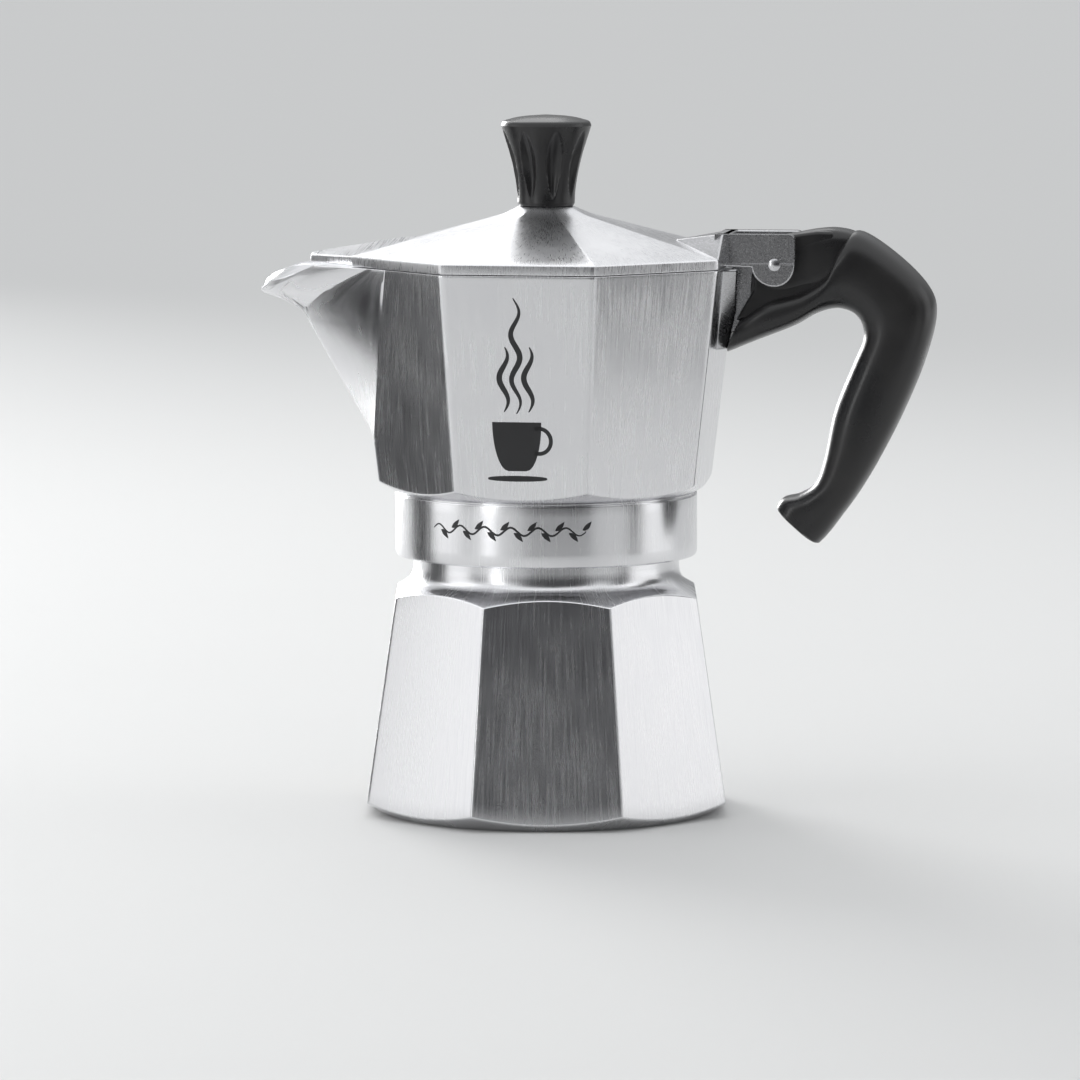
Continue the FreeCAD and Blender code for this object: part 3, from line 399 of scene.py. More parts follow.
class Graph:
    """A short way to write a material's nodes."""

    def __init__(self, name: str) -> None:
        """Start a material with a Principled shader."""
        self.material = bpy.data.materials.new(name)
        self.material.use_nodes = True
        self.tree = self.material.node_tree
        self.shader = self.tree.nodes["Principled BSDF"]

    def node(self, kind: str, **settings: object) -> bpy.types.Node:
        """Make a node.

        Args:
            kind: type of the node without its common beginning.
            **settings: properties of the node.

        Returns:
            The new node.
        """
        made = self.tree.nodes.new("ShaderNode" + kind)
        for name, value in settings.items():
            setattr(made, name, value)
        return made

    def feed(self, node: bpy.types.Node, **inputs: object) -> bpy.types.Node:
        """Set or link a node's inputs.

        Args:
            node: the node.
            **inputs: a number, a colour or a socket for each input; an underscore stands for a space.

        Returns:
            The same node.
        """
        for name, value in inputs.items():
            socket = node.inputs[name.replace("_", " ")]
            if isinstance(value, bpy.types.NodeSocket):
                self.tree.links.new(value, socket)
            else:
                socket.default_value = value
        return node

    def noise(self, source: str, scale: Sequence[float], detail: float = 3.0,
              turn: float = 0.0) -> bpy.types.NodeSocket:
        """Stretched noise.

        Args:
            source: "UV" or "Object", the coordinates that it follows.
            scale: repeats per metre in each direction.
            detail: octaves of the noise.
            turn: angle of the pattern in radians.

        Returns:
            The socket with the noise's value.
        """
        place = self.node("TexCoord")
        mapping = self.feed(self.node("Mapping"), Vector=place.outputs[source], Scale=tuple(scale),
                            Rotation=(0.0, 0.0, turn))
        made = self.feed(self.node("TexNoise"), Vector=mapping.outputs["Vector"], Scale=1.0, Detail=detail)
        return made.outputs["Fac"]

    def span(self, value: bpy.types.NodeSocket, low: float, high: float,
             start: float = 0.3, end: float = 0.7) -> bpy.types.NodeSocket:
        """Map a value to another range.

        Args:
            value: socket with the value.
            low: result at the start.
            high: result at the end.
            start: value where the range starts.
            end: value where the range ends.

        Returns:
            The socket with the result.
        """
        return self.feed(self.node("MapRange"), Value=value, From_Min=start, From_Max=end,
                         To_Min=low, To_Max=high).outputs["Result"]

    def blend(self, factor: bpy.types.NodeSocket, first: Sequence[float],
              second: Sequence[float]) -> bpy.types.NodeSocket:
        """Mix two colours.

        Args:
            factor: socket with 0 for the first colour and 1 for the second.
            first: first colour.
            second: second colour.

        Returns:
            The socket with the colour.
        """
        mix = self.node("Mix", data_type="RGBA")
        self.tree.links.new(factor, mix.inputs[0])
        mix.inputs[6].default_value = (*first, 1)
        mix.inputs[7].default_value = (*second, 1)
        return mix.outputs[2]

    def bump(self, height: bpy.types.NodeSocket, strength: float, distance: float,
             below: bpy.types.NodeSocket | None = None) -> bpy.types.NodeSocket:
        """Turn a height into a bump.

        Args:
            height: socket with the height.
            strength: strength of the bump.
            distance: height of a full step, in millimetres.
            below: normal of a bump under this one.

        Returns:
            The socket with the normal.
        """
        made = self.feed(self.node("Bump"), Height=height, Strength=strength, Distance=distance * MM)
        if below is not None:
            self.tree.links.new(below, made.inputs["Normal"])
        return made.outputs["Normal"]


@dataclass(frozen=True)
class Metal:
    """Bare metal with fine grain in one direction and soft mottling.

    light, dark: colours of its even and its marked places.
    rough: roughness of the two.
    grain: repeats per metre along the two directions of its coordinates.
    turn: angle of the grain in radians.
    relief, pores: strength of the grain's bump and of the fine pores' bump.
    source: coordinates that the grain follows.
    """

    name: str
    light: tuple[float, float, float] = (0.86, 0.86, 0.87)
    dark: tuple[float, float, float] = (0.70, 0.70, 0.72)
    rough: tuple[float, float] = (0.18, 0.32)
    grain: tuple[float, float] = (2600.0, 70.0)
    turn: float = 0.0
    relief: float = 0.3
    pores: float = 0.1
    source: str = "UV"

    def build(self) -> bpy.types.Material:
        """Make the material: its unevenness is 0.9 grain + 0.2 mottling, spread from 0.25..0.85.

        Returns:
            The new material.
        """
        mottling, pore, start, end = 55.0, 2600.0, 0.25, 0.85
        g = Graph(self.name)
        lines = g.noise(self.source, (*self.grain, max(self.grain)), 4.0, self.turn)
        cloud = g.noise("Object", (mottling,) * 3, 2.0)
        speck = g.noise("Object", (pore,) * 3, 2.0)
        uneven = g.feed(g.node("Math", operation="MULTIPLY_ADD"), Value=lines).outputs[0]
        g.tree.links.new(g.span(cloud, 0.0, 0.2), uneven.node.inputs[2])
        uneven.node.inputs[1].default_value = 0.9
        colour = g.blend(g.span(uneven, 0, 1, start, end), self.dark, self.light)
        roughness = g.span(uneven, *self.rough, start, end)
        g.feed(g.shader, Metallic=1.0, Base_Color=colour, Roughness=roughness)
        fine = g.bump(speck, self.pores, 0.02)
        g.feed(g.shader, Normal=g.bump(lines, self.relief, 0.012, fine))
        return g.material


@dataclass(frozen=True)
class Moulded:
    """Dull moulded plastic or rubber with a fine pebbled skin.

    colour, worn: the colours that it drifts between.
    rough: roughness of the two.
    pebble, relief: repeats per metre and strength of its pebbled bump.
    """

    name: str
    colour: tuple[float, float, float]
    worn: tuple[float, float, float]
    rough: tuple[float, float] = (0.3, 0.42)
    pebble: float = 1600.0
    relief: float = 0.35

    def build(self) -> bpy.types.Material:
        """Make the material.

        Returns:
            The new material.
        """
        drift = 70.0
        g = Graph(self.name)
        pebble = g.noise("Object", (self.pebble,) * 3, 2.0)
        cloud = g.noise("Object", (drift,) * 3, 4.0)
        g.feed(g.shader, Base_Color=g.blend(g.span(cloud, 0, 1), self.colour, self.worn),
               Roughness=g.span(cloud, *self.rough), Specular_IOR_Level=0.5,
               Normal=g.bump(pebble, self.relief, 0.03))
        return g.material


class Finishes:
    """All materials of the pot, made once."""

    def __init__(self) -> None:
        """Build every finish."""
        self.brushed = Metal("brushed_aluminium").build()
        self.turned = Metal(
            "turned_aluminium", rough=(0.12, 0.24), grain=(60.0, 4200.0), relief=0.16, pores=0.04).build()
        self.cast = Metal(
            "cast_aluminium", dark=(0.55, 0.55, 0.57), light=(0.78, 0.78, 0.79), rough=(0.26, 0.45),
            grain=(900.0, 900.0), pores=0.3).build()
        # Painted reflection: the hinge finish's colours are darker than the other aluminium so that the
        # lid's ears and the lug look as if they mirror dark surroundings.
        self.hinge = Metal(
            "hinge_aluminium_painted_dark_reflection", dark=(0.46, 0.46, 0.47), light=(0.58, 0.58, 0.59), rough=(0.2, 0.3),
            grain=(1900.0, 1900.0), relief=0.2, pores=0.2).build()
        self.lid = Metal(
            "lid_aluminium", grain=(4200.0, 420.0), turn=0.6, relief=0.4, rough=(0.2, 0.4)).build()
        self.sheet = Metal(
            "drawn_aluminium", rough=(0.25, 0.4), grain=(700.0, 700.0), source="Object", relief=0.12).build()
        self.brass = Metal(
            "machined_brass", light=(0.86, 0.68, 0.36), dark=(0.66, 0.48, 0.2), rough=(0.18, 0.3),
            grain=(2600.0, 2600.0), source="Object", relief=0.1).build()
        self.steel = Metal(
            "bright_steel", light=(0.72, 0.72, 0.73), dark=(0.55, 0.55, 0.57), rough=(0.16, 0.3),
            grain=(1500.0, 1500.0), source="Object", relief=0.1).build()
        self.plastic = Moulded(
            "black_moulding", (0.011, 0.011, 0.012), (0.019, 0.018, 0.018), rough=(0.24, 0.36)).build()
        self.rubber = Moulded(
            "pale_rubber", (0.72, 0.70, 0.64), (0.60, 0.58, 0.52), rough=(0.5, 0.65), relief=0.15).build()
        self.ink = Moulded(
            "black_print", (0.01, 0.01, 0.011), (0.02, 0.02, 0.022), rough=(0.35, 0.5), relief=0.1).build()

    def casting(self) -> list[bpy.types.Material]:
        """The slots of a cast piece, in the order of Band."""
        return [self.brushed, self.turned, self.cast]


def dress(thing: bpy.types.Object, *materials: bpy.types.Material) -> bpy.types.Object:
    """Give a piece its material slots.

    Args:
        thing: the piece.
        *materials: one for each slot, in order.

    Returns:
        The same piece.
    """
    thing.data.materials.clear()
    for material in materials:
        thing.data.materials.append(material)
    return thing


def seat(thing: bpy.types.Object, body: str, slot: str, *nodes: str) -> bpy.types.Object:
    """Let a piece ride on a body and hide the CAD nodes that it stands for.

    Args:
        thing: the piece.
        body: the body that it moves with.
        slot: name of its material slot; not used.
        *nodes: CAD nodes that it replaces.

    Returns:
        The same piece.
    """
    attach(thing, body)
    for node in nodes:
        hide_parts(node)
    LOG.info("%s rides on %s: %d faces", thing.name, body, len(thing.data.polygons))
    return thing


# ---------------------------------------------------------------- boiler


@dataclass(frozen=True)
class Boiler:
    """The water chamber: leaning octagon with turned foot, shoulder and threaded neck."""

    turn: float = 9.0
    foot_radius: float = 38.46
    foot_width: float = 5.5
    foot_recess: float = 0.6
    base_corner: float = 44.45
    base_height: float = 3.46
    shoulder_corner: float = 37.24
    shoulder_height: float = 50.22
    shoulder_slope: float = 0.542
    neck_radius: float = 30.5
    thread_bottom: float = 60.3
    thread_depth: float = 1.35
    pitch: float = 3.5
    height: float = 66.8
    bore: float = 27.0
    wall: float = 2.9
    floor: float = 3.0
    neck_blend: float = 3.3
    bore_depth: float = 13.18
    edge: float = 0.35
    corner_rounding: float = 0.022
    per_face: int = 20

    def apothem(self, height: float) -> float:
        """Distance of the faces from the axis at a height."""
        lean = (self.base_corner - self.shoulder_corner) / (self.shoulder_height - self.base_height)
        return (self.base_corner - lean * (height - self.base_height)) * math.cos(HALF_FACE)

    def cone_edge(self, shape: Array, radius: float, height: float, slope: float) -> tuple[Array, Array]:
        """Where a cone through (radius, height) cuts the leaning octagon.

        The octagon is r = g (a0 - k z) and the cone z = height + slope (r - radius), so
        r = g (a0 - k height + k slope radius) / (1 + g k slope).

        Args:
            shape: g, the radius of an octagon of apothem 1 at each angle.
            radius: a radius on the cone.
            height: the cone's height at that radius.
            slope: the cone's rise over its run.

        Returns:
            Radius and height of the cut at each angle.
        """
        start = self.apothem(0)
        lean = start - self.apothem(1)
        r = shape * (start - lean * height + lean * slope * radius) / (1 + shape * lean * slope)
        return r, height + slope * (r - radius)

    def thread_rows(self, angle: Array) -> list[Row]:
        """Rows over the helical ridge: its crest follows z = pitch * turn and fades out at both ends.

        Args:
            angle: angle of each column in degrees.

        Returns:
            The rows, from the lowest up.
        """
        heights = np.linspace(self.thread_bottom, self.height - 1.0, 38)
        run_out = 0.9
        rows = []
        for z in heights:
            phase = np.mod(z / self.pitch - angle / 360, 1.0)
            crest = np.clip(1.5 * (0.5 - 0.5 * np.cos(2 * np.pi * phase)) - 0.25, 0, 1)
            fade = min(1.0, (z - heights[0]) / run_out, (heights[-1] - z) / run_out)
            rows.append(Row(turned(angle, self.neck_radius + self.thread_depth * fade * crest, z)))
        return rows

    def build(self, finishes: Finishes) -> None:
        """Make the boiler's surface from its foot over the lip to its floor.

        Args:
            finishes: the pot's materials.
        """
        angle = ring_angles(self.turn, self.per_face)
        shape = octagon(angle, self.turn, self.corner_rounding)
        bottom_slope = self.base_height / (self.base_corner - self.foot_radius)
        low_r, low_z = self.cone_edge(shape, self.foot_radius, 0.0, bottom_slope)
        top_r, top_z = self.cone_edge(
            shape, self.shoulder_corner, self.shoulder_height, -self.shoulder_slope)
        hollow = self.shoulder_height + (self.shoulder_corner - self.neck_radius) * self.shoulder_slope
        inner_top = self.apothem(self.shoulder_height) - self.wall
        inner_foot = self.apothem(self.floor) - self.wall
        rows = [
            Row(turned(angle, 0.0, self.foot_recess)),
            Row(turned(angle, self.foot_radius - self.foot_width - 0.5, self.foot_recess), 0.8),
            Row(turned(angle, self.foot_radius - self.foot_width, 0.0), 0.4),
            Row(turned(angle, self.foot_radius, 0.0), 0.4, 3),
            Row(turned(angle, low_r, low_z), self.edge, 14, Band.BRUSHED),
            Row(turned(angle, top_r, top_z), self.edge * 0.8, 5),
            Row(turned(angle, self.neck_radius + 0.15, hollow), self.neck_blend, 3),
            Row(turned(angle, self.neck_radius, self.thread_bottom - 0.6), 0.1),
            *self.thread_rows(angle),
            Row(turned(angle, self.neck_radius + 0.2, self.height), 0.5),
            Row(turned(angle, self.bore, self.height), 0.4, 3),
            Row(turned(angle, self.bore, self.height - self.bore_depth), 3.0, 3, Band.CAST),
            Row(turned(angle, inner_top, self.shoulder_height - 1.2), 2.0, 6, Band.CAST),
            Row(turned(angle, inner_foot, self.floor), 2.5, 4, Band.CAST),
            Row(turned(angle, 0.0, self.floor)),
        ]
        grid, bands = carry(rows)
        around = np.append(angle, angle[0] + 360) * GRAIN_PER_DEGREE
        piece = skin("boiler_casting", grid, bands, around)
        seat(dress(piece, *finishes.casting()), "boiler_body", "boiler_cast", "boiler")


# ---------------------------------------------------------------- collector


@dataclass(frozen=True)
class Collector:
    """The top half: octagonal bowl with its V spout, turned collar and the coffee column's seat.

    The ridge of the spout runs straight from its foot to the flare, then over the bend out to the tip.
    Each segment between two edges of the bowl, from the ridge round to the back, has a number of columns.
    A section of the hinge rail is (root, shoulder, front, half width of root, half width of front,
    height, height of front), its first three counted outwards from the face on the handle's side.
    """

    bottom_corner: float = 39.4
    bottom_height: float = 76.55
    rim_corner: float = 45.5
    rim: float = 125.8
    under_slope: float = 0.543
    wall: float = 2.4
    spout_wall: float = 2.2
    floor: float = 78.0
    collar_radius: float = 34.72
    collar_bottom: float = 59.07
    collar_top: float = 73.4
    collar_step: float = 0.5
    bore: float = 32.4
    seat_height: float = 71.55
    seat_radius: float = 28.8
    seat_depth: float = 0.7
    seat_width: float = 2.3
    column_seat: float = 5.0
    column_mouth: float = 74.6
    ridge_foot: tuple[float, float] = (36.7, 79.6)
    ridge_flare: tuple[float, float] = (57.0, 114.3)
    ridge_bend: tuple[float, float] = (58.04, 116.08)
    ridge_tip: tuple[float, float] = (66.27, 118.7)
    crease_start: float = 80.0
    crease_corner: float = 86.0
    crease_share: float = 0.38
    least_crease: float = 3.5
    blunt_low: float = 0.5
    blunt_gain: float = 2.2
    blunt_start: float = 113.0
    blunt_span: float = 6.0
    blunt_pull: float = 0.35
    nose_reach: float = 5.5
    lip_start: float = 53.0
    corner_rounding: float = 0.02
    fold_share: float = 0.853
    lip_drop: float = 3.2
    columns: tuple[int, ...] = (12, 12, 5, 15, 18, 18, 10)
    rail: tuple[tuple[float, ...], ...] = (
        (-3.4, -2.4, 0.2, 3.6, 2.4, 106.6, 106.9), (-3.0, -1.2, 2.3, 5.6, 3.4, 116.0, 116.0),
        (-2.0, -0.1, 2.9, 8.2, 5.4, 125.3, 125.3))
    lug_radius: float = 4.4
    lug_half_width: float = 2.5

    def apothem(self, height: Array | float) -> Array | float:
        """Distance of the faces from the axis at a height."""
        lean = (self.rim_corner - self.bottom_corner) / (self.rim - self.bottom_height)
        return (self.bottom_corner + lean * (height - self.bottom_height)) * math.cos(HALF_FACE)

    def ridge(self, height: Array) -> Array:
        """Reach of the spout's ridge: straight, then (1-t)^2 a + 2t(1-t) b + t^2 c out to the tip.

        Args:
            height: heights in millimetres.

        Returns:
            Distances from the axis.
        """
        t = np.linspace(0, 1, 40)
        flare = [(1 - t) ** 2 * a + 2 * t * (1 - t) * b + t * t * c
                 for a, b, c in zip(self.ridge_flare, self.ridge_bend, self.ridge_tip)]
        beyond = (self.ridge_tip[0] + 4.0, self.ridge_tip[1] + 1.27)
        reach = np.concatenate([[self.ridge_foot[0]], flare[0], [beyond[0]]])
        level = np.concatenate([[self.ridge_foot[1]], flare[1], [beyond[1]]])
        return np.interp(height, level, reach)

    def crease(self, height: Array) -> Array:
        """Where the spout's flank meets the octagon.

        Args:
            height: heights in millimetres.

        Returns:
            Angles from the spout's middle in degrees.
        """
        rise = np.clip((height - self.crease_start) / (self.crease_corner - self.crease_start), 0, 1)
        climb = np.clip((height - self.crease_corner) / (self.rim - self.crease_corner), 0, 1)
        share = self.crease_share * climb
        on_next = 45 + np.degrees(np.arctan(math.tan(HALF_FACE) * (2 * share - 1)))
        on_first = np.degrees(np.arctan(math.tan(HALF_FACE) * rise))
        return np.maximum(np.where(height > self.crease_corner, on_next, on_first), self.least_crease)

    def column_keys(self) -> tuple[Array, Array, Array]:
        """Lay out the columns, from the ridge round the back and home on the other side.

        Returns:
            Segment, place in the segment from 0 to 1, and side of each column.
        """
        segment: list[Array] = []
        place: list[Array] = []
        for index, count in enumerate(self.columns):
            t = np.arange(count) / count
            spaced = t**1.3 if index == 0 else 0.5 - 0.5 * np.cos(np.pi * t)
            if index == len(self.columns) - 1:
                spaced = 1 - np.cos(0.5 * np.pi * t)
            segment.append(np.full(count, index))
            place.append(spaced)
        half_segment = np.append(np.concatenate(segment), len(self.columns) - 1)
        half_place = np.append(np.concatenate(place), 1.0)
        both_segments = np.concatenate([half_segment, half_segment[-2:0:-1]])
        both_places = np.concatenate([half_place, half_place[-2:0:-1]])
        side = np.concatenate([np.ones(len(half_place)), -np.ones(len(half_place) - 2)])
        return both_segments, both_places, side

    def flank_ends(self, height: Array) -> tuple[Array, Array, Array, Array]:
        """The flank's line in plan.

        Above the flare the flank's plane goes on under a fold, which climbs from the ridge to the rim.

        Args:
            height: heights in millimetres.

        Returns:
            Reach of the line's start on the ridge, x and y of its end on the octagon, and the share
            of the way to that end at which the fold crosses it.
        """
        crease = np.radians(self.crease(height))
        edge = self.apothem(height) * octagon(np.degrees(crease), 0.0, 0.0)
        (low_x, low_z), (high_x, high_z) = self.ridge_foot, self.ridge_flare
        straight = low_x + (high_x - low_x) * (height - low_z) / (high_z - low_z)
        reach = np.maximum(straight, self.apothem(height))
        share = np.clip((height - high_z) / (self.rim - high_z), 0.0, 1.0) * self.fold_share
        return reach, edge * np.cos(crease), edge * np.sin(crease), share

    def angle(self, height: Array) -> Array:
        """Angle of each column.

        Args:
            height: each column's own height.

        Returns:
            Unsigned angles from the spout's middle in degrees.
        """
        segment, place, _ = self.column_keys()
        first = self.crease(height)
        second = np.maximum(CORNER, first + 1.5)
        reach, end_x, end_y, share = self.flank_ends(height)
        share = np.maximum(share, 0.12)
        fold = np.degrees(np.arctan2(end_y * share, reach + (end_x - reach) * share))
        corners_behind = [np.full_like(first, k * CORNER) for k in (3, 5, 7, 8)]
        keys = np.stack([np.zeros_like(first), fold, first, second, *corners_behind])
        columns = np.arange(len(segment))
        low, high = keys[segment, columns], keys[segment + 1, columns]
        return low + (high - low) * place

    @staticmethod
    def line(angle: Array, start: tuple[Array, Array], end: tuple[Array, Array], inward: float) -> Array:
        """Radius of a straight line in plan moved inwards: r = (d - inward) / cos(angle - n).

        Args:
            angle: angles from the spout's middle in radians.
            start: x and y of one end.
            end: x and y of the other end.
            inward: how far the line is moved towards the axis.

        Returns:
            The radii.
        """
        across, along = end[1] - start[1], start[0] - end[0]
        normal = np.arctan2(along, across)
        length = np.maximum(np.hypot(across, along), 1e-9)
        distance = (across * start[0] + along * start[1]) / length - inward
        return distance / np.maximum(np.cos(angle - normal), 0.15)

    def radius(self, angle: Array, height: Array, wall: float, spout_wall: float) -> Array:
        """Radius of the bowl with its spout, moved inwards by a wall.

        The flank is a straight line in plan from the ridge to the crease. Above the flare a second
        line leaves it at the fold and runs out to the lip, and the larger radius counts. The ridge is
        blunt: the angle a is taken as sqrt(a^2 + b^2) - pull * b, with b growing towards the tip, and
        the second line starts as far beyond the lip as that blunting takes away.

        Args:
            angle: unsigned angles from the spout's middle in degrees.
            height: height of each.
            wall: thickness of the bowl's wall to leave outside, 0 for the outer face.
            spout_wall: the same at the spout.

        Returns:
            The radii.
        """
        flat = octagon(angle, 0.0, self.corner_rounding) * (self.apothem(height) - wall)
        reach, end_x, end_y, share = self.flank_ends(height)
        growth = np.clip((height - self.blunt_start) / self.blunt_span, 0, 1)
        blunt = math.radians(self.blunt_low) + math.radians(self.blunt_gain) * growth
        soft = np.sqrt(np.radians(angle) ** 2 + blunt**2) - blunt * self.blunt_pull
        flank = self.line(soft, (reach, 0 * reach), (end_x, end_y), spout_wall)
        fold = reach + (end_x - reach) * share
        side = np.maximum(end_y * share, 1e-3)
        lip = np.maximum(self.ridge(height), reach)
        nose = blunt * (1 - self.blunt_pull)
        span = np.maximum(side - lip * np.sin(nose), 0.35 * side)
        sharp = lip * (side * np.cos(nose) - fold * np.sin(nose)) / span
        sharp = np.clip(sharp, lip, lip + self.nose_reach)
        flare = self.line(soft, (sharp, 0 * lip), (fold, side), spout_wall)
        flared = (height > self.ridge_flare[1] + 0.05) & (lip > reach + 0.02)
        flank = np.where(flared, np.maximum(flank, flare), flank)
        if wall > 0:
            first_face = angle < CORNER
            upper = np.where(first_face, flank, np.minimum(flat, flank))
            upper = np.where(angle < 3 * CORNER - 0.5, upper, flat)
            lower = np.where(first_face, np.maximum(flat, flank), flat)
            return np.where(height > self.crease_corner, upper, lower)
        return np.where(angle < self.crease(height) - 1e-6, flank, flat)

    def place(self, height: Array, wall: float, spout_wall: float) -> Array:
        """Points of all columns.

        Args:
            height: each column's height.
            wall: thickness of the bowl's wall to leave outside.
            spout_wall: the same at the spout.

        Returns:
            One point for each column.
        """
        angle = self.angle(height)
        side = self.column_keys()[2]
        r = self.radius(angle, height, wall, spout_wall)
        turn = np.radians(angle)
        return as_points(-r * np.cos(turn), side * r * np.sin(turn), height)

    def lip_height(self, points: Array, drop: float) -> Array:
        """Height of the pouring lip: rim - fall (1 - sqrt(1 - s^2)) - 3 drop s (1 - s), s from 0 to 1.

        Args:
            points: places under the lip.
            drop: how far the lip sags halfway to the tip.

        Returns:
            The heights.
        """
        span = self.ridge_tip[0] - self.lip_start
        share = np.clip((-points[:, 0] - self.lip_start) / span, 0, 1)
        fall = (self.rim - self.ridge_tip[1]) * (1 - np.sqrt(1 - share**2))
        return self.rim - fall - drop * np.clip(3 * share * (1 - share), 0, 1)

    def top(self, wall: float, spout_wall: float) -> Array:
        """Height where each column meets the lip, found by halving.

        Args:
            wall: thickness of the bowl's wall to leave outside.
            spout_wall: the same at the spout.

        Returns:
            One height for each column.
        """
        count = len(self.column_keys()[0])
        low = np.full(count, self.rim - 12.0)
        high = np.full(count, self.rim)
        for _ in range(40):
            middle = (low + high) / 2
            drop = self.lip_drop if wall == 0 else 0.0
            under = middle < self.lip_height(self.place(middle, wall, spout_wall), drop)
            low = np.where(under, middle, low)
            high = np.where(under, high, middle)
        return high

    def wall_rows(self, bottom: Array, wall: float, spout_wall: float, band: Band) -> list[Row]:
        """Rows from a bottom edge up to the lip, closer together at the crease and the flare.

        Args:
            bottom: height of the bottom edge at each column.
            wall: thickness of the bowl's wall to leave outside.
            spout_wall: the same at the spout.
            band: finish of the wall.

        Returns:
            The rows between the bottom edge and the lip, and the lip's own row.
        """
        levels = np.concatenate([
            np.linspace(0, 11, 12), [14, 18, 22, 26, 30, 33.5], np.linspace(35.5, 49.25, 19)])
        top = self.top(wall, spout_wall)
        rows = []
        for share in (levels / levels[-1])[1:-1]:
            rows.append(Row(self.place(bottom + (top - bottom) * share, wall, spout_wall), band=band))
        return rows + [Row(self.place(top, wall, spout_wall), 0.35, band=Band.TURNED)]

    def foot_edge(self, angle: Array) -> tuple[Array, Array]:
        """Where the bowl's faces meet the cone under them.

        The faces are r = g (a + k (z - z0)) and the cone z = z0 + u (r - c), so
        r = g (a - k u c) / (1 - g k u).

        Args:
            angle: angle of each column in degrees.

        Returns:
            Radius and height of the edge at each angle.
        """
        shape = octagon(angle, 0.0, self.corner_rounding)
        slope = self.apothem(1.0) - self.apothem(0.0)
        start = self.apothem(self.bottom_height) - slope * self.under_slope * self.bottom_corner
        radius = shape * start / (1 - shape * slope * self.under_slope)
        return radius, self.bottom_height + self.under_slope * (radius - self.bottom_corner)

    def build(self, finishes: Finishes) -> None:
        """Make the casting's surface, from the column's seat over the rim and back up through its bore.

        Args:
            finishes: the pot's materials.
        """
        side = self.column_keys()[2]
        angle = 180 - side * self.angle(np.full(len(side), self.floor - 2))
        low_r, low_z = self.foot_edge(angle)
        inner_foot = np.full(len(angle), self.floor)
        inside = self.wall_rows(inner_foot, self.wall, self.spout_wall, Band.CAST)
        outside = self.wall_rows(low_z, 0.0, 0.0, Band.BRUSHED)

        def ring(radius: float, height: float, rounding: float = 0.0, steps: int = 1,
                 band: Band = Band.TURNED) -> Row:
            """A round row."""
            return Row(turned(angle, radius, height), rounding, steps, band)

        cone = self.bottom_height + self.under_slope * (self.collar_radius + 0.1 - self.bottom_corner)
        relief = self.collar_radius - self.collar_step
        seat_floor = self.seat_height + self.seat_depth
        rows = [
            ring(self.column_seat, self.floor, steps=5, band=Band.CAST),
            Row(self.place(inner_foot, self.wall, self.spout_wall), 1.2, band=Band.CAST),
            *inside,
            *outside[::-1],
            Row(turned(angle, low_r, low_z), 0.3, 4),
            ring(self.collar_radius + 0.1, cone, 0.3),
            ring(relief, self.collar_top + 0.35, 0.1),
            ring(relief, self.collar_top, 0.1),
            ring(self.collar_radius, self.collar_top, 0.5, 6),
            ring(self.collar_radius, self.collar_bottom, 1.1, 2),
            ring(self.bore, self.collar_bottom, 0.4, 6),
            ring(self.bore, self.seat_height, 0.1),
            ring(self.seat_radius, self.seat_height, 0.1),
            ring(self.seat_radius, seat_floor, 0.1),
            ring(self.seat_radius - self.seat_width, seat_floor, 0.3, 3, Band.CAST),
            ring(self.column_seat, self.column_mouth, 0.3, 1, Band.CAST),
            ring(self.column_seat, self.floor),
        ]
        grid, bands = carry(rows, 3)
        around = np.unwrap(np.append(angle, angle[0]), period=360) * GRAIN_PER_DEGREE
        piece = skin("collector_casting", grid, bands, around)
        lug = self.lug()
        seat(dress(piece, *finishes.casting()), "pot_top", "collector_cast", "collector")
        seat(dress(lug, finishes.hinge), "pot_top", "collector_cast", "collector")

    def lug(self) -> bpy.types.Object:
        """The cast rail on the handle's face with the plate that carries the pin.

        Returns:
            The new object.
        """
        face = float(self.apothem(self.rim))
        rail = ribbed_hull("hinge_rail", [
            [(face + root, -wide, z), (face + side, -wide, z), (face + front, -narrow, front_z),
             (face + front, narrow, front_z), (face + side, wide, z), (face + root, wide, z)]
            for root, side, front, wide, narrow, z, front_z in self.rail], 0.5)
        t = np.linspace(-0.3 * np.pi, 0.85 * np.pi, 18)
        outline = np.concatenate([
            [(face - 1.0, 110.0), (face + 4.0, 111.5)],
            as_points(PIN_X + self.lug_radius * np.cos(t), PIN_Z + self.lug_radius * np.sin(t)),
            [(face - 1.0, 124.4)],
        ])
        plate = slab("hinge_plate", outline, -self.lug_half_width, self.lug_half_width, 0.4)
        return fuse("hinge_lug", [rail, plate])


# ---------------------------------------------------------------- lid


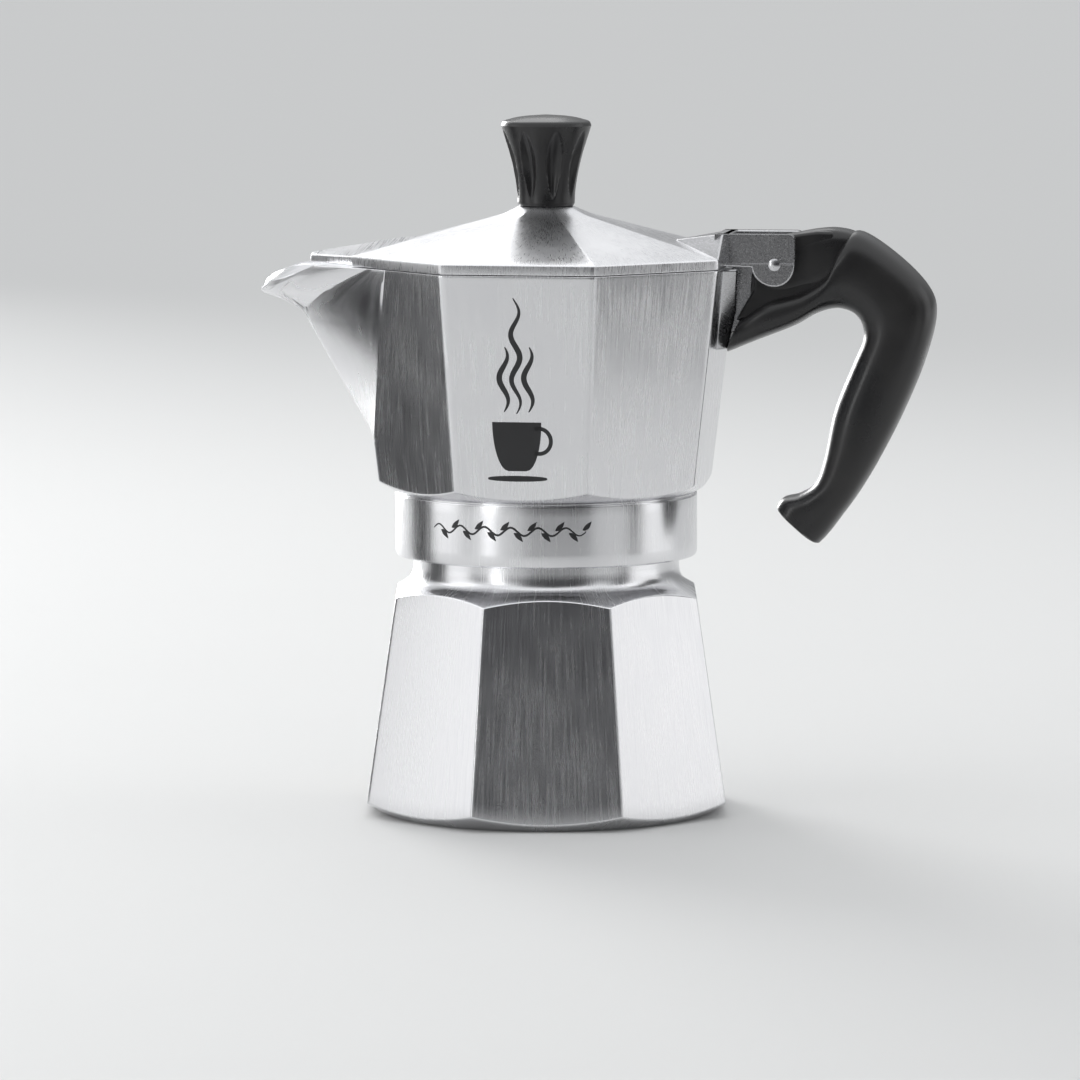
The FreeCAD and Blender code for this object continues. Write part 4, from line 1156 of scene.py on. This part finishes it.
@dataclass(frozen=True)
class Lid:
    """The faceted lid with its cover over the spout and its two-eared hinge arm.

    The cover's tip and root are counted outwards along X, and its ridges upwards from the lid's edge.
    """

    apothem: float = 42.064
    bottom: float = 125.94
    band: float = 2.27
    slope: float = 0.28
    apex: float = 140.0
    boss_radius: float = 6.4
    boss_top: float = 139.1
    boss_foot: float = 9.6
    boss_seat: float = 7.0
    thickness: float = 2.0
    wall: float = 2.4
    beak_root: float = -33.5
    beak_tip: float = -54.6
    beak_half_width: float = 25.0
    nose_half_width: float = 1.9
    arm_top: float = 133.6
    ramp_start: float = 30.2
    trunk_reach: float = 10.3
    ear_radius: float = 5.1
    ear_inner: float = 6.3
    ear_outer: float = 9.0
    seam_reach: float = 7.6
    seam_width: float = 0.35
    corner_rounding: float = 0.012
    per_face: int = 18

    def shell(self) -> bpy.types.Object:
        """Facets, edge band and hollow underside: z = apex - slope * apothem on the facets.

        Returns:
            The new object.
        """
        angle = ring_angles(0.0, self.per_face)
        shape = octagon(angle, 0.0, self.corner_rounding)

        def facet(apothem: float, drop: float, rounding: float = 0.0, steps: int = 1) -> Row:
            """A row of the faceted roof at an apothem."""
            height = self.apex - drop - self.slope * apothem
            return Row(turned(angle, shape * apothem, height), rounding, steps, Band.BRUSHED)

        inner = self.apothem - self.wall
        rows = [
            Row(turned(angle, 0.0, self.boss_top)),
            Row(turned(angle, self.boss_radius, self.boss_top), 0.2, 2, Band.BRUSHED),
            facet(self.boss_foot, 0.0, 2.0, 10),
            facet(self.apothem, 0.0, 0.4),
            Row(turned(angle, shape * self.apothem, self.bottom), 0.25, 2, Band.BRUSHED),
            Row(turned(angle, shape * inner, self.bottom), 0.25, 1, Band.CAST),
            facet(inner, self.thickness, 0.4, 6),
            facet(self.boss_seat, self.thickness, 0.3),
            Row(turned(angle, 0.0, self.apex - self.thickness - self.slope * self.boss_seat)),
        ]
        grid, bands = carry(rows)
        return skin("lid_roof", grid, bands, np.append(angle, angle[0] + 360) * GRAIN_PER_DEGREE)

    def beak(self) -> bpy.types.Object:
        """The ridged cover that closes the root of the spout: three gables, the last one its tip.

        Returns:
            The new object.
        """
        low, edge = self.bottom, self.bottom + self.band
        return ribbed_hull("lid_beak", [
            gable(self.beak_root + 6, self.beak_half_width, low + 0.4, edge, edge + 3.9),
            gable(self.beak_root, self.beak_half_width, low, edge + 0.1, edge + 3.4),
            gable(self.beak_tip, self.nose_half_width, low, low + 1.6, low + 2.1),
        ], 0.35)

    def ears(self) -> list[bpy.types.Object]:
        """Two D-shaped ears around the pin, each with a raised upper half and a seam across it.

        Returns:
            The plates, which the arm takes in.
        """
        bottom = np.linspace(-np.pi, 0.0, 22)[1:]
        corner = np.linspace(0.0, 0.5 * np.pi, 6)
        right, round_off = PIN_X + self.ear_radius * 0.9, 1.3
        reach = np.where(np.cos(bottom) < 0, 1.06, 0.9) * self.ear_radius
        outline = np.concatenate([
            [(self.apothem - 2.0, self.arm_top), (self.apothem - 2.0, self.bottom + 0.4)],
            as_points(PIN_X + reach * np.cos(bottom), PIN_Z + self.ear_radius * np.sin(bottom)),
            as_points(right - round_off + round_off * np.cos(corner),
                      self.arm_top - round_off + round_off * np.sin(corner)),
        ])
        upper = outline.copy()
        upper[:, 1] = np.maximum(upper[:, 1], PIN_Z + 0.15)
        upper = upper[np.append(True, np.linalg.norm(np.diff(upper, axis=0), axis=1) > 0.02)]
        left, seam_end, seam_top = PIN_X - self.seam_reach, right - 0.1, PIN_Z + self.seam_width
        seam = np.array([(left, PIN_Z), (seam_end, PIN_Z), (seam_end, seam_top), (left, seam_top)])
        ears = []
        for side in (-1, 1):
            inner, outer = side * self.ear_inner, side * self.ear_outer
            ears.append(slab("lid_ear", outline, inner, outer, 0.45))
            ears.append(slab("lid_ear_top", upper, outer - side, outer + 0.16 * side, 0.12))
            ears.append(slab("lid_ear_seam", seam, outer - side, outer + 0.3 * side, 0.08))
        return ears

    def arm(self) -> bpy.types.Object:
        """The ramp from the facet up to the trunk between the ears, with the ears.

        Returns:
            The new object.
        """
        foot, side = self.apothem, self.apothem * math.tan(HALF_FACE)
        low, edge, top = self.bottom + 0.4, self.bottom + self.band, self.arm_top
        start, width = self.ramp_start, self.ear_outer
        ramp = ribbed_hull("lid_ramp", [
            [(start, -0.7, 130.4), (start, -0.25, 131.75), (start, 0.25, 131.75), (start, 0.7, 130.4)],
            [(foot - 0.2, -side + 0.3, edge - 0.5), (foot - 0.2, -width, top),
             (foot - 0.2, width, top), (foot - 0.2, side - 0.3, edge - 0.5)],
            [(foot + 1.4, -width - 0.6, edge - 1.2), (foot + 1.4, -width, top),
             (foot + 1.4, width, top), (foot + 1.4, width + 0.6, edge - 1.2)],
        ], 0.3)
        end = PIN_X - self.trunk_reach
        trunk = slab("lid_trunk", np.array([(foot - 2.0, top), (foot - 2.0, low), (end, low), (end, top)]),
                     -width + 0.5, width - 0.5, 0.2)
        return fuse("lid_hinge_arm", [ramp, trunk, *self.ears()])

    def build(self, finishes: Finishes) -> None:
        """Make the lid's three cast pieces.

        Args:
            finishes: the pot's materials.
        """
        shell = dress(self.shell(), finishes.lid, finishes.turned, finishes.cast)
        seat(shell, "lid_body", "lid_cast", "lid")
        seat(dress(self.beak(), finishes.lid), "lid_body", "lid_cast", "lid")
        seat(dress(self.arm(), finishes.hinge), "lid_body", "lid_cast", "lid")


# ---------------------------------------------------------------- knob and handle


@dataclass(frozen=True)
class Knob:
    """The scalloped lid knob."""

    foot: float = 139.15
    height: float = 20.85
    foot_radius: float = 6.55
    waist_radius: float = 7.3
    rim_radius: float = 10.35
    flute_low: float = 140.8
    flute_high: float = 156.6
    flute_depth: float = 1.35
    flutes: int = 8
    per_flute: int = 24

    def build(self, finishes: Finishes) -> None:
        """Carry the knob's profile round and press leaf-shaped hollows into its side.

        A hollow is depth * (1 - (a / w)^2) at angle a from its middle, with w its half width there.

        Args:
            finishes: the pot's materials.
        """
        count = self.flutes * self.per_flute
        angle = np.arange(count) * 360 / count
        side = smooth_path([
            (self.foot_radius, 0.6), (self.foot_radius + 0.15, 3.5), (self.waist_radius, 7.5),
            (8.35, 12.0), (9.6, 16.0), (self.rim_radius, 18.4)], 60)
        step = 360 / self.flutes
        local = np.mod(angle, step) - step / 2
        rows = [
            Row(turned(angle, 0.0, self.foot)),
            Row(turned(angle, self.foot_radius - 0.4, self.foot), 0.2),
        ]
        for radius, rise in side:
            height = self.foot + rise
            share = np.clip((height - self.flute_low) / (self.flute_high - self.flute_low), 0, 1)
            leaf = math.sin(math.pi * share)
            width = 0.30 * step * leaf**0.6 + 1e-6
            hollow = self.flute_depth * leaf**0.7 * np.maximum(1 - (local / width) ** 2, 0)
            rows.append(Row(turned(angle, radius - hollow, height)))
        crown = self.foot + self.height
        rows += [
            Row(turned(angle, self.rim_radius - 0.35, crown - 1.45), 0.6, 2),
            Row(turned(angle, self.rim_radius * 0.6, crown - 0.4), 3.0, 2),
            Row(turned(angle, 0.6, crown - 0.005), 0.5),
            Row(turned(angle, 0.0, crown)),
        ]
        grid, bands = carry(rows)
        piece = skin("knob_moulding", grid, bands, sharp=35)
        seat(dress(piece, finishes.plastic), "lid_body", "black_plastic", "knob")


@dataclass(frozen=True)
class Handle:
    """The moulded hook: wide grip and the narrow neck that reaches between the lid's ears.

    Each section of the grip and of the neck is (outer x, outer z, inner x, inner z, half width).
    The web is the outline of the flat core between them, as (x, z).
    """

    grip: tuple[tuple[float, ...], ...] = (
        (45.9, 114.5, 42.4, 106.3, 7.6), (52.0, 118.6, 49.7, 109.3, 8.2), (60.0, 121.0, 57.5, 112.4, 8.4),
        (65.8, 125.0, 62.5, 115.2, 8.5), (68.6, 131.2, 66.2, 116.4, 8.5), (72.4, 134.1, 69.0, 116.3, 8.5),
        (80.9, 128.8, 71.6, 115.1, 8.5), (88.0, 121.6, 73.1, 112.8, 8.5), (89.8, 115.2, 73.3, 109.3, 8.5),
        (87.3, 104.8, 71.0, 103.7, 8.5), (82.5, 93.0, 66.9, 93.3, 8.4), (77.0, 82.1, 64.6, 82.3, 8.2),
        (72.3, 74.2, 62.6, 76.7, 7.9), (68.5, 68.9, 58.9, 74.0, 7.7), (65.5, 64.9, 55.2, 73.0, 7.5),
        (63.4, 62.7, 53.7, 71.2, 7.4))
    neck: tuple[tuple[float, ...], ...] = (
        (48.7, 127.0, 48.0, 119.2, 5.4), (51.3, 131.2, 51.8, 118.0, 5.9), (54.6, 132.8, 55.5, 117.5, 6.0),
        (58.6, 133.8, 60.0, 118.6, 6.0), (63.2, 134.6, 64.5, 120.5, 6.1), (67.4, 134.75, 69.0, 123.0, 6.1),
        (71.6, 133.6, 73.0, 125.0, 5.4), (75.0, 130.0, 75.0, 124.0, 4.0))
    web: tuple[tuple[float, float], ...] = (
        (44.4, 113.6), (48.5, 120.7), (48.3, 129.0), (51.3, 132.1), (56.7, 133.3), (63.0, 134.2),
        (67.0, 134.2), (69.0, 121.0), (59.8, 115.7))
    web_half: float = 5.85

    @staticmethod
    def sweep(name: str, sections: Sequence[Sequence[float]], power: float, rows: int) -> bpy.types.Object:
        """Carry a rounded section along: c + h cos^(2/n) in the plane and w sin^(2/n) across.

        Args:
            name: name of the piece.
            sections: (outer x, outer z, inner x, inner z, half width) from one end to the other.
            power: n, 2 for an ellipse and more for a squarer section.
            rows: number of sections in the mesh.

        Returns:
            The new object.
        """
        path = smooth_path(sections, rows)
        outer, inner, half_width = path[:, 0:2], path[:, 2:4], path[:, 4]
        centre, arm = (outer + inner) / 2, (outer - inner) / 2
        along = np.gradient(centre, axis=0)
        along /= np.linalg.norm(along, axis=1, keepdims=True)
        turn = np.linspace(0, 2 * np.pi, 49)[:-1]
        out = np.sign(np.cos(turn)) * np.abs(np.cos(turn)) ** (2 / power)
        across = np.sign(np.sin(turn)) * np.abs(np.sin(turn)) ** (2 / power)

        def ring(place: int, share: float, push: float) -> Array:
            """One section, scaled and pushed along the path."""
            flat = centre[place] + along[place] * push + out[:, None] * arm[place] * share
            return as_points(flat[:, 0], across * half_width[place] * share, flat[:, 1])

        last = rows - 1
        rings = [ring(0, 0.0, -0.5), ring(0, 0.8, -0.5), ring(0, 0.93, -0.3)]
        rings += [ring(place, 1.0, 0.0) for place in range(rows)]
        rings += [ring(last, 0.94, 0.35), ring(last, 0.82, 0.6), ring(last, 0.0, 0.6)]
        return skin(name, np.array(rings), sharp=50)

    def build(self, finishes: Finishes) -> None:
        """Make grip, neck and core as one moulding.

        Args:
            finishes: the pot's materials.
        """
        grip = self.sweep("grip", self.grip, 2.9, 110)
        neck = self.sweep("neck", self.neck, 4.0, 40)
        web = slab("neck_web", np.array(self.web), -self.web_half, self.web_half, 0.9)
        piece = fuse("handle_moulding", [grip, neck, web])
        seat(dress(piece, finishes.plastic), "pot_top", "black_plastic", "handle")


@dataclass(frozen=True)
class HingePin:
    """The turned pin through ears, handle and lug, with a domed end proud of each ear."""

    radius: float = 1.4
    half_length: float = 9.5
    dome: float = 0.3

    def build(self, finishes: Finishes) -> None:
        """Turn the pin about its own axis: the ends are y = half length - dome (r / radius)^2.

        Args:
            finishes: the pot's materials.
        """
        share = np.linspace(0.0, 1.0, 9)
        radius = np.concatenate([share, share[::-1]]) * self.radius
        end = self.half_length - self.dome * share**2
        along = np.concatenate([-end, end[::-1]])
        turn = np.linspace(0.0, 2 * np.pi, 49)[:-1]
        x, y, z = np.broadcast_arrays(
            PIN_X + radius[:, None] * np.cos(turn), along[:, None], PIN_Z + radius[:, None] * np.sin(turn))
        grid = np.stack([x, y, z], axis=2)
        seat(dress(skin("hinge_pin_turned", grid), finishes.steel), "pot_top", "pin_steel", "hinge_pin")


# ---------------------------------------------------------------- printed mark


def stroke(name: str, path: Array, half_width: Array, lift: Callable[[Array, float], Array],
           depth: float = 0.05) -> bpy.types.Object:
    """A thin printed stroke: a band of the given half width around a flat path, laid on a surface.

    Args:
        name: name of the piece.
        path: (points, 2) places on the surface in millimetres.
        half_width: half width at each point.
        lift: turns flat places and a height over the surface into (x, y, z).
        depth: height of the ink over the surface.

    Returns:
        The new object.
    """
    along = np.gradient(path, axis=0)
    along /= np.maximum(np.linalg.norm(along, axis=1, keepdims=True), 1e-9)
    normal = np.stack([along[:, 1], -along[:, 0]], axis=1) * half_width[:, None]
    left, right = path - normal, path + normal
    rings = np.stack([lift(left, -0.2), lift(right, -0.2), lift(right, depth), lift(left, depth)], axis=1)
    ends = [np.repeat(rings[k].mean(axis=0)[None], 4, axis=0)[None] for k in (0, -1)]
    return skin(name, np.concatenate([ends[0], rings, ends[1]]), sharp=20)


@dataclass(frozen=True)
class Prints:
    """A plain steaming cup on the collector's front face and a leaf border on its collar."""

    bowl: Collector
    middle: float = -0.7
    low: float = 78.6
    size: float = 0.82
    border_height: float = 67.6
    border_start: float = -128.0
    border_end: float = -66.0

    def on_face(self, flat: Array, lift: float) -> Array:
        """Lift flat points off the leaning front face."""
        return as_points(self.middle + flat[:, 0], -(self.bowl.apothem(flat[:, 1]) + lift), flat[:, 1])

    def on_collar(self, flat: Array, lift: float) -> Array:
        """Wrap flat points around the collar: the angle is the length over the radius."""
        radius = self.bowl.collar_radius
        return turned(np.degrees(flat[:, 0] / radius), radius + lift, flat[:, 1])

    def cup(self) -> list[bpy.types.Object]:
        """Three waves of steam, a cup with its ear, and a saucer, each a path with its half width.

        Returns:
            The strokes.
        """
        t = np.linspace(0, 1, 60)
        level = np.linspace(0, 1, 40)
        turn = np.linspace(-0.62 * np.pi, 0.62 * np.pi, 40)
        wave_length = 12.5
        flat: list[tuple[Array, Array]] = []
        for shift, start, length in ((-3.4, 20.0, 18.0), (0.0, 19.5, 32.0), (3.4, 20.0, 18.0)):
            wave = 1.2 * np.sin(2 * np.pi * t * length / wave_length)
            steam = as_points(shift + wave, start + length * t)
            flat.append((steam, 0.12 + 0.66 * np.sin(np.pi * t) ** 0.8))
        cup = as_points(0.0, 3.6 + 13.6 * level)
        ear = as_points(6.1 + 3.3 * np.cos(turn), 12.0 + 3.5 * np.sin(turn))
        saucer = as_points(np.linspace(-8.2, 8.2, 40), 1.5)
        flat.append((cup, 2.4 + 4.4 * np.sqrt(np.clip(1 - (1 - level) ** 2, 0, 1))))
        flat.append((ear, np.full(40, 0.55)))
        flat.append((saucer, 0.2 + 0.6 * np.sqrt(np.clip(1 - (2 * level - 1) ** 2, 0, 1))))
        base = np.array([0.0, self.low])
        return [stroke("cup_ink", path * self.size + base, width * self.size, self.on_face)
                for path, width in flat]

    def border(self) -> list[bpy.types.Object]:
        """A waved stem with a leaf on each side of each wave, wrapped round the collar.

        Returns:
            The strokes.
        """
        radius = self.bowl.collar_radius
        start, end = math.radians(self.border_start) * radius, math.radians(self.border_end) * radius
        t = np.linspace(0, 1, 220)
        u = np.linspace(0, 1, 14)
        waves, depth = 6, 0.03
        stem = as_points(start + (end - start) * t, self.border_height + 0.9 * np.sin(2 * np.pi * waves * t))
        made = [stroke("border_stem", stem, 0.1 + 0.14 * np.sin(np.pi * t) ** 0.4, self.on_collar, depth)]
        for number in range(2 * waves):
            side = 1 if number % 2 else -1
            foot = start + (end - start) * (number + 0.72) / (2 * waves)
            leaf = as_points(foot + 2.1 * u, self.border_height + side * (0.35 + 1.9 * u**1.5))
            made.append(stroke("border_leaf", leaf, 0.04 + 0.5 * np.sin(np.pi * u), self.on_collar, depth))
        return made

    def build(self, finishes: Finishes) -> None:
        """Lay both prints on the casting.

        Args:
            finishes: the pot's materials.
        """
        seat(dress(fuse("printed_cup", self.cup()), finishes.ink), "pot_top", "collector_cast")
        seat(dress(fuse("collar_border", self.border()), finishes.ink), "pot_top", "collector_cast")


# ---------------------------------------------------------------- kept pieces, studio


def dress_kept_nodes(frame: dict, finishes: Finishes) -> None:
    """Give the carried-over CAD pieces their finishes.

    Args:
        finishes: the pot's materials.
    """
    kept = {
        finishes.brass: ("valve_body", "valve_stem", "valve_retainer"),
        finishes.steel: ("valve_spring", "knob_screw", "knob_washer"),
        finishes.cast: ("coffee_column",),
        finishes.sheet: ("funnel_basket", "funnel_tube", "funnel_screen", "filter_plate"),
        finishes.rubber: ("gasket", "valve_washer"),
    }
    for material, nodes in kept.items():
        for node in nodes:
            for slot in frame["nodes"][node].material_slots:
                slot.material = material
            LOG.info("%s keeps its CAD shape", node)


@dataclass(frozen=True)
class Lamp:
    """A soft rectangular lamp or a card around the pot.

    azimuth, lift: direction from the pot, in degrees.
    distance, width, height: in metres.
    glow: how bright it looks.
    spread: angle that its light fills, in degrees.
    """

    azimuth: float
    lift: float
    distance: float
    width: float
    height: float
    glow: float
    spread: float = 180.0


@dataclass(frozen=True)
class Studio:
    """Pale floor, soft lamps, dark cards that only reflections see, and the camera.

    The surrounding's strength runs from dim to bright between two heights of a direction's Z.
    """

    azimuth: float = 8.94
    elevation: float = 6.105
    distance: float = 1.608
    lens: float = 232.83
    aim_height: float = 0.06212
    shift: float = -0.00574
    lamp_aim: float = 0.07
    floor_half: float = 40.0
    dim: float = 0.3
    bright: float = 1.25
    dim_below: float = 0.2
    bright_above: float = 0.8
    backdrop: float = 0.76
    lamps: tuple[Lamp, ...] = (
        Lamp(-168.0, 14.0, 0.75, 0.50, 0.55, 0.88),
        Lamp(-124.0, 12.0, 0.90, 0.12, 0.60, 3.2),
        Lamp(10.0, 14.0, 0.75, 0.55, 0.55, 0.8),
        Lamp(112.0, 40.0, 1.10, 0.60, 0.50, 1.2),
        Lamp(126.0, 11.0, 1.90, 0.90, 0.95, 1.5, spread=60.0),
    )
    cards: tuple[Lamp, ...] = (
        Lamp(177.0, -2.0, 0.196, 0.085, 0.14, 0.0),
        Lamp(-72.0, 15.0, 0.50, 0.50, 0.38, 0.0),
        Lamp(-13.0, 10.0, 0.32, 0.07, 0.20, 0.0),
    )

    def camera(self) -> None:
        """Place the camera, turned from the front by azimuth and raised by elevation."""
        turn, lift = math.radians(self.azimuth), math.radians(self.elevation)
        data = bpy.data.cameras.new("camera")
        data.lens, data.sensor_width, data.shift_x = self.lens, 36.0, self.shift
        data.clip_start, data.clip_end = 0.05, 120.0
        camera = bpy.data.objects.new("camera", data)
        camera.location = (self.distance * math.cos(lift) * math.sin(turn),
                           -self.distance * math.cos(lift) * math.cos(turn),
                           self.aim_height + self.distance * math.sin(lift))
        camera.rotation_euler = (math.pi / 2 - lift, 0.0, turn)
        bpy.context.scene.collection.objects.link(camera)
        bpy.context.scene.camera = camera

    def sheet(self, name: str, half_x: float, half_y: float, colour: Sequence[float]) -> bpy.types.Object:
        """A flat rectangle that belongs to the studio.

        Args:
            name: name of the rectangle.
            half_x: half of its width in metres.
            half_y: half of its depth in metres.
            colour: its colour.

        Returns:
            The new object.
        """
        mesh = bpy.data.meshes.new(name)
        around = [(-half_x, -half_y, 0), (half_x, -half_y, 0), (half_x, half_y, 0), (-half_x, half_y, 0)]
        mesh.from_pydata(around, [], [(0, 1, 2, 3)])
        sheet = bpy.data.objects.new(name, mesh)
        bpy.context.scene.collection.objects.link(sheet)
        g = Graph(name)
        g.feed(g.shader, Base_Color=(*colour, 1), Roughness=0.7)
        sheet.data.materials.append(g.material)
        return sheet

    def stand(self, thing: bpy.types.Object, lamp: Lamp) -> None:
        """Put a lamp or card at its place, facing the pot.

        Args:
            thing: its object.
            lamp: where it stands.
        """
        turn, rise = math.radians(lamp.azimuth), math.radians(lamp.lift)
        level = lamp.distance * math.cos(rise)
        height = self.lamp_aim + lamp.distance * math.sin(rise)
        thing.location = (level * math.cos(turn), level * math.sin(turn), height)
        thing.rotation_euler = (math.pi / 2 - rise, 0.0, turn + math.pi / 2)
        thing.visible_camera = False

    def lights(self) -> None:
        """Make the lamps and the dark cards around the pot."""
        for number, lamp in enumerate(self.lamps):
            data = bpy.data.lights.new(f"lamp_{number}", "AREA")
            data.shape, data.size, data.size_y = "RECTANGLE", lamp.width, lamp.height
            data.energy = math.pi * lamp.width * lamp.height * lamp.glow
            data.spread = math.radians(lamp.spread)
            thing = bpy.data.objects.new(f"lamp_{number}", data)
            bpy.context.scene.collection.objects.link(thing)
            self.stand(thing, lamp)
        for number, card in enumerate(self.cards):
            thing = self.sheet(f"card_{number}", card.width / 2, card.height / 2, (0.01, 0.01, 0.012))
            self.stand(thing, card)
            thing.visible_shadow = False
            thing.visible_diffuse = False

    def surround(self) -> None:
        """Make a surrounding that is bright overhead and dim at the horizon.

        The camera itself sees an even, pale backdrop past the floor's edge.
        """
        world = bpy.data.worlds.new("surround")
        bpy.context.scene.world = world
        world.use_nodes = True
        nodes, links = world.node_tree.nodes, world.node_tree.links
        place = nodes.new("ShaderNodeTexCoord")
        split = nodes.new("ShaderNodeSeparateXYZ")
        ramp = nodes.new("ShaderNodeMapRange")
        levels = {"From Min": self.dim_below, "From Max": self.bright_above,
                  "To Min": self.dim, "To Max": self.bright}
        for socket, value in levels.items():
            ramp.inputs[socket].default_value = value
        links.new(place.outputs["Generated"], split.inputs[0])
        links.new(split.outputs["Z"], ramp.inputs["Value"])
        sky = nodes["Background"]
        sky.inputs["Color"].default_value = (0.97, 0.985, 1.0, 1)
        seen = nodes.new("ShaderNodeLightPath")
        backdrop = nodes.new("ShaderNodeMix")
        backdrop.inputs["B"].default_value = self.backdrop
        links.new(seen.outputs["Is Camera Ray"], backdrop.inputs["Factor"])
        links.new(ramp.outputs["Result"], backdrop.inputs["A"])
        links.new(backdrop.outputs["Result"], sky.inputs["Strength"])

    def build(self) -> None:
        """Set up everything around the pot."""
        self.camera()
        self.sheet("floor", self.floor_half, self.floor_half, (0.6, 0.6, 0.595))
        self.lights()
        self.surround()
        bpy.context.scene.view_settings.view_transform = "Standard"


def main() -> None:
    """Build the studio and every piece of the pot."""
    logging.basicConfig(level=logging.INFO, format="%(name)s: %(message)s")
    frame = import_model()
    finishes = Finishes()
    Studio().build()
    collector = Collector()
    Boiler().build(finishes)
    collector.build(finishes)
    Lid().build(finishes)
    Knob().build(finishes)
    Handle().build(finishes)
    HingePin().build(finishes)
    Prints(collector).build(finishes)
    dress_kept_nodes(frame, finishes)


if __name__ == "__main__":
    main()
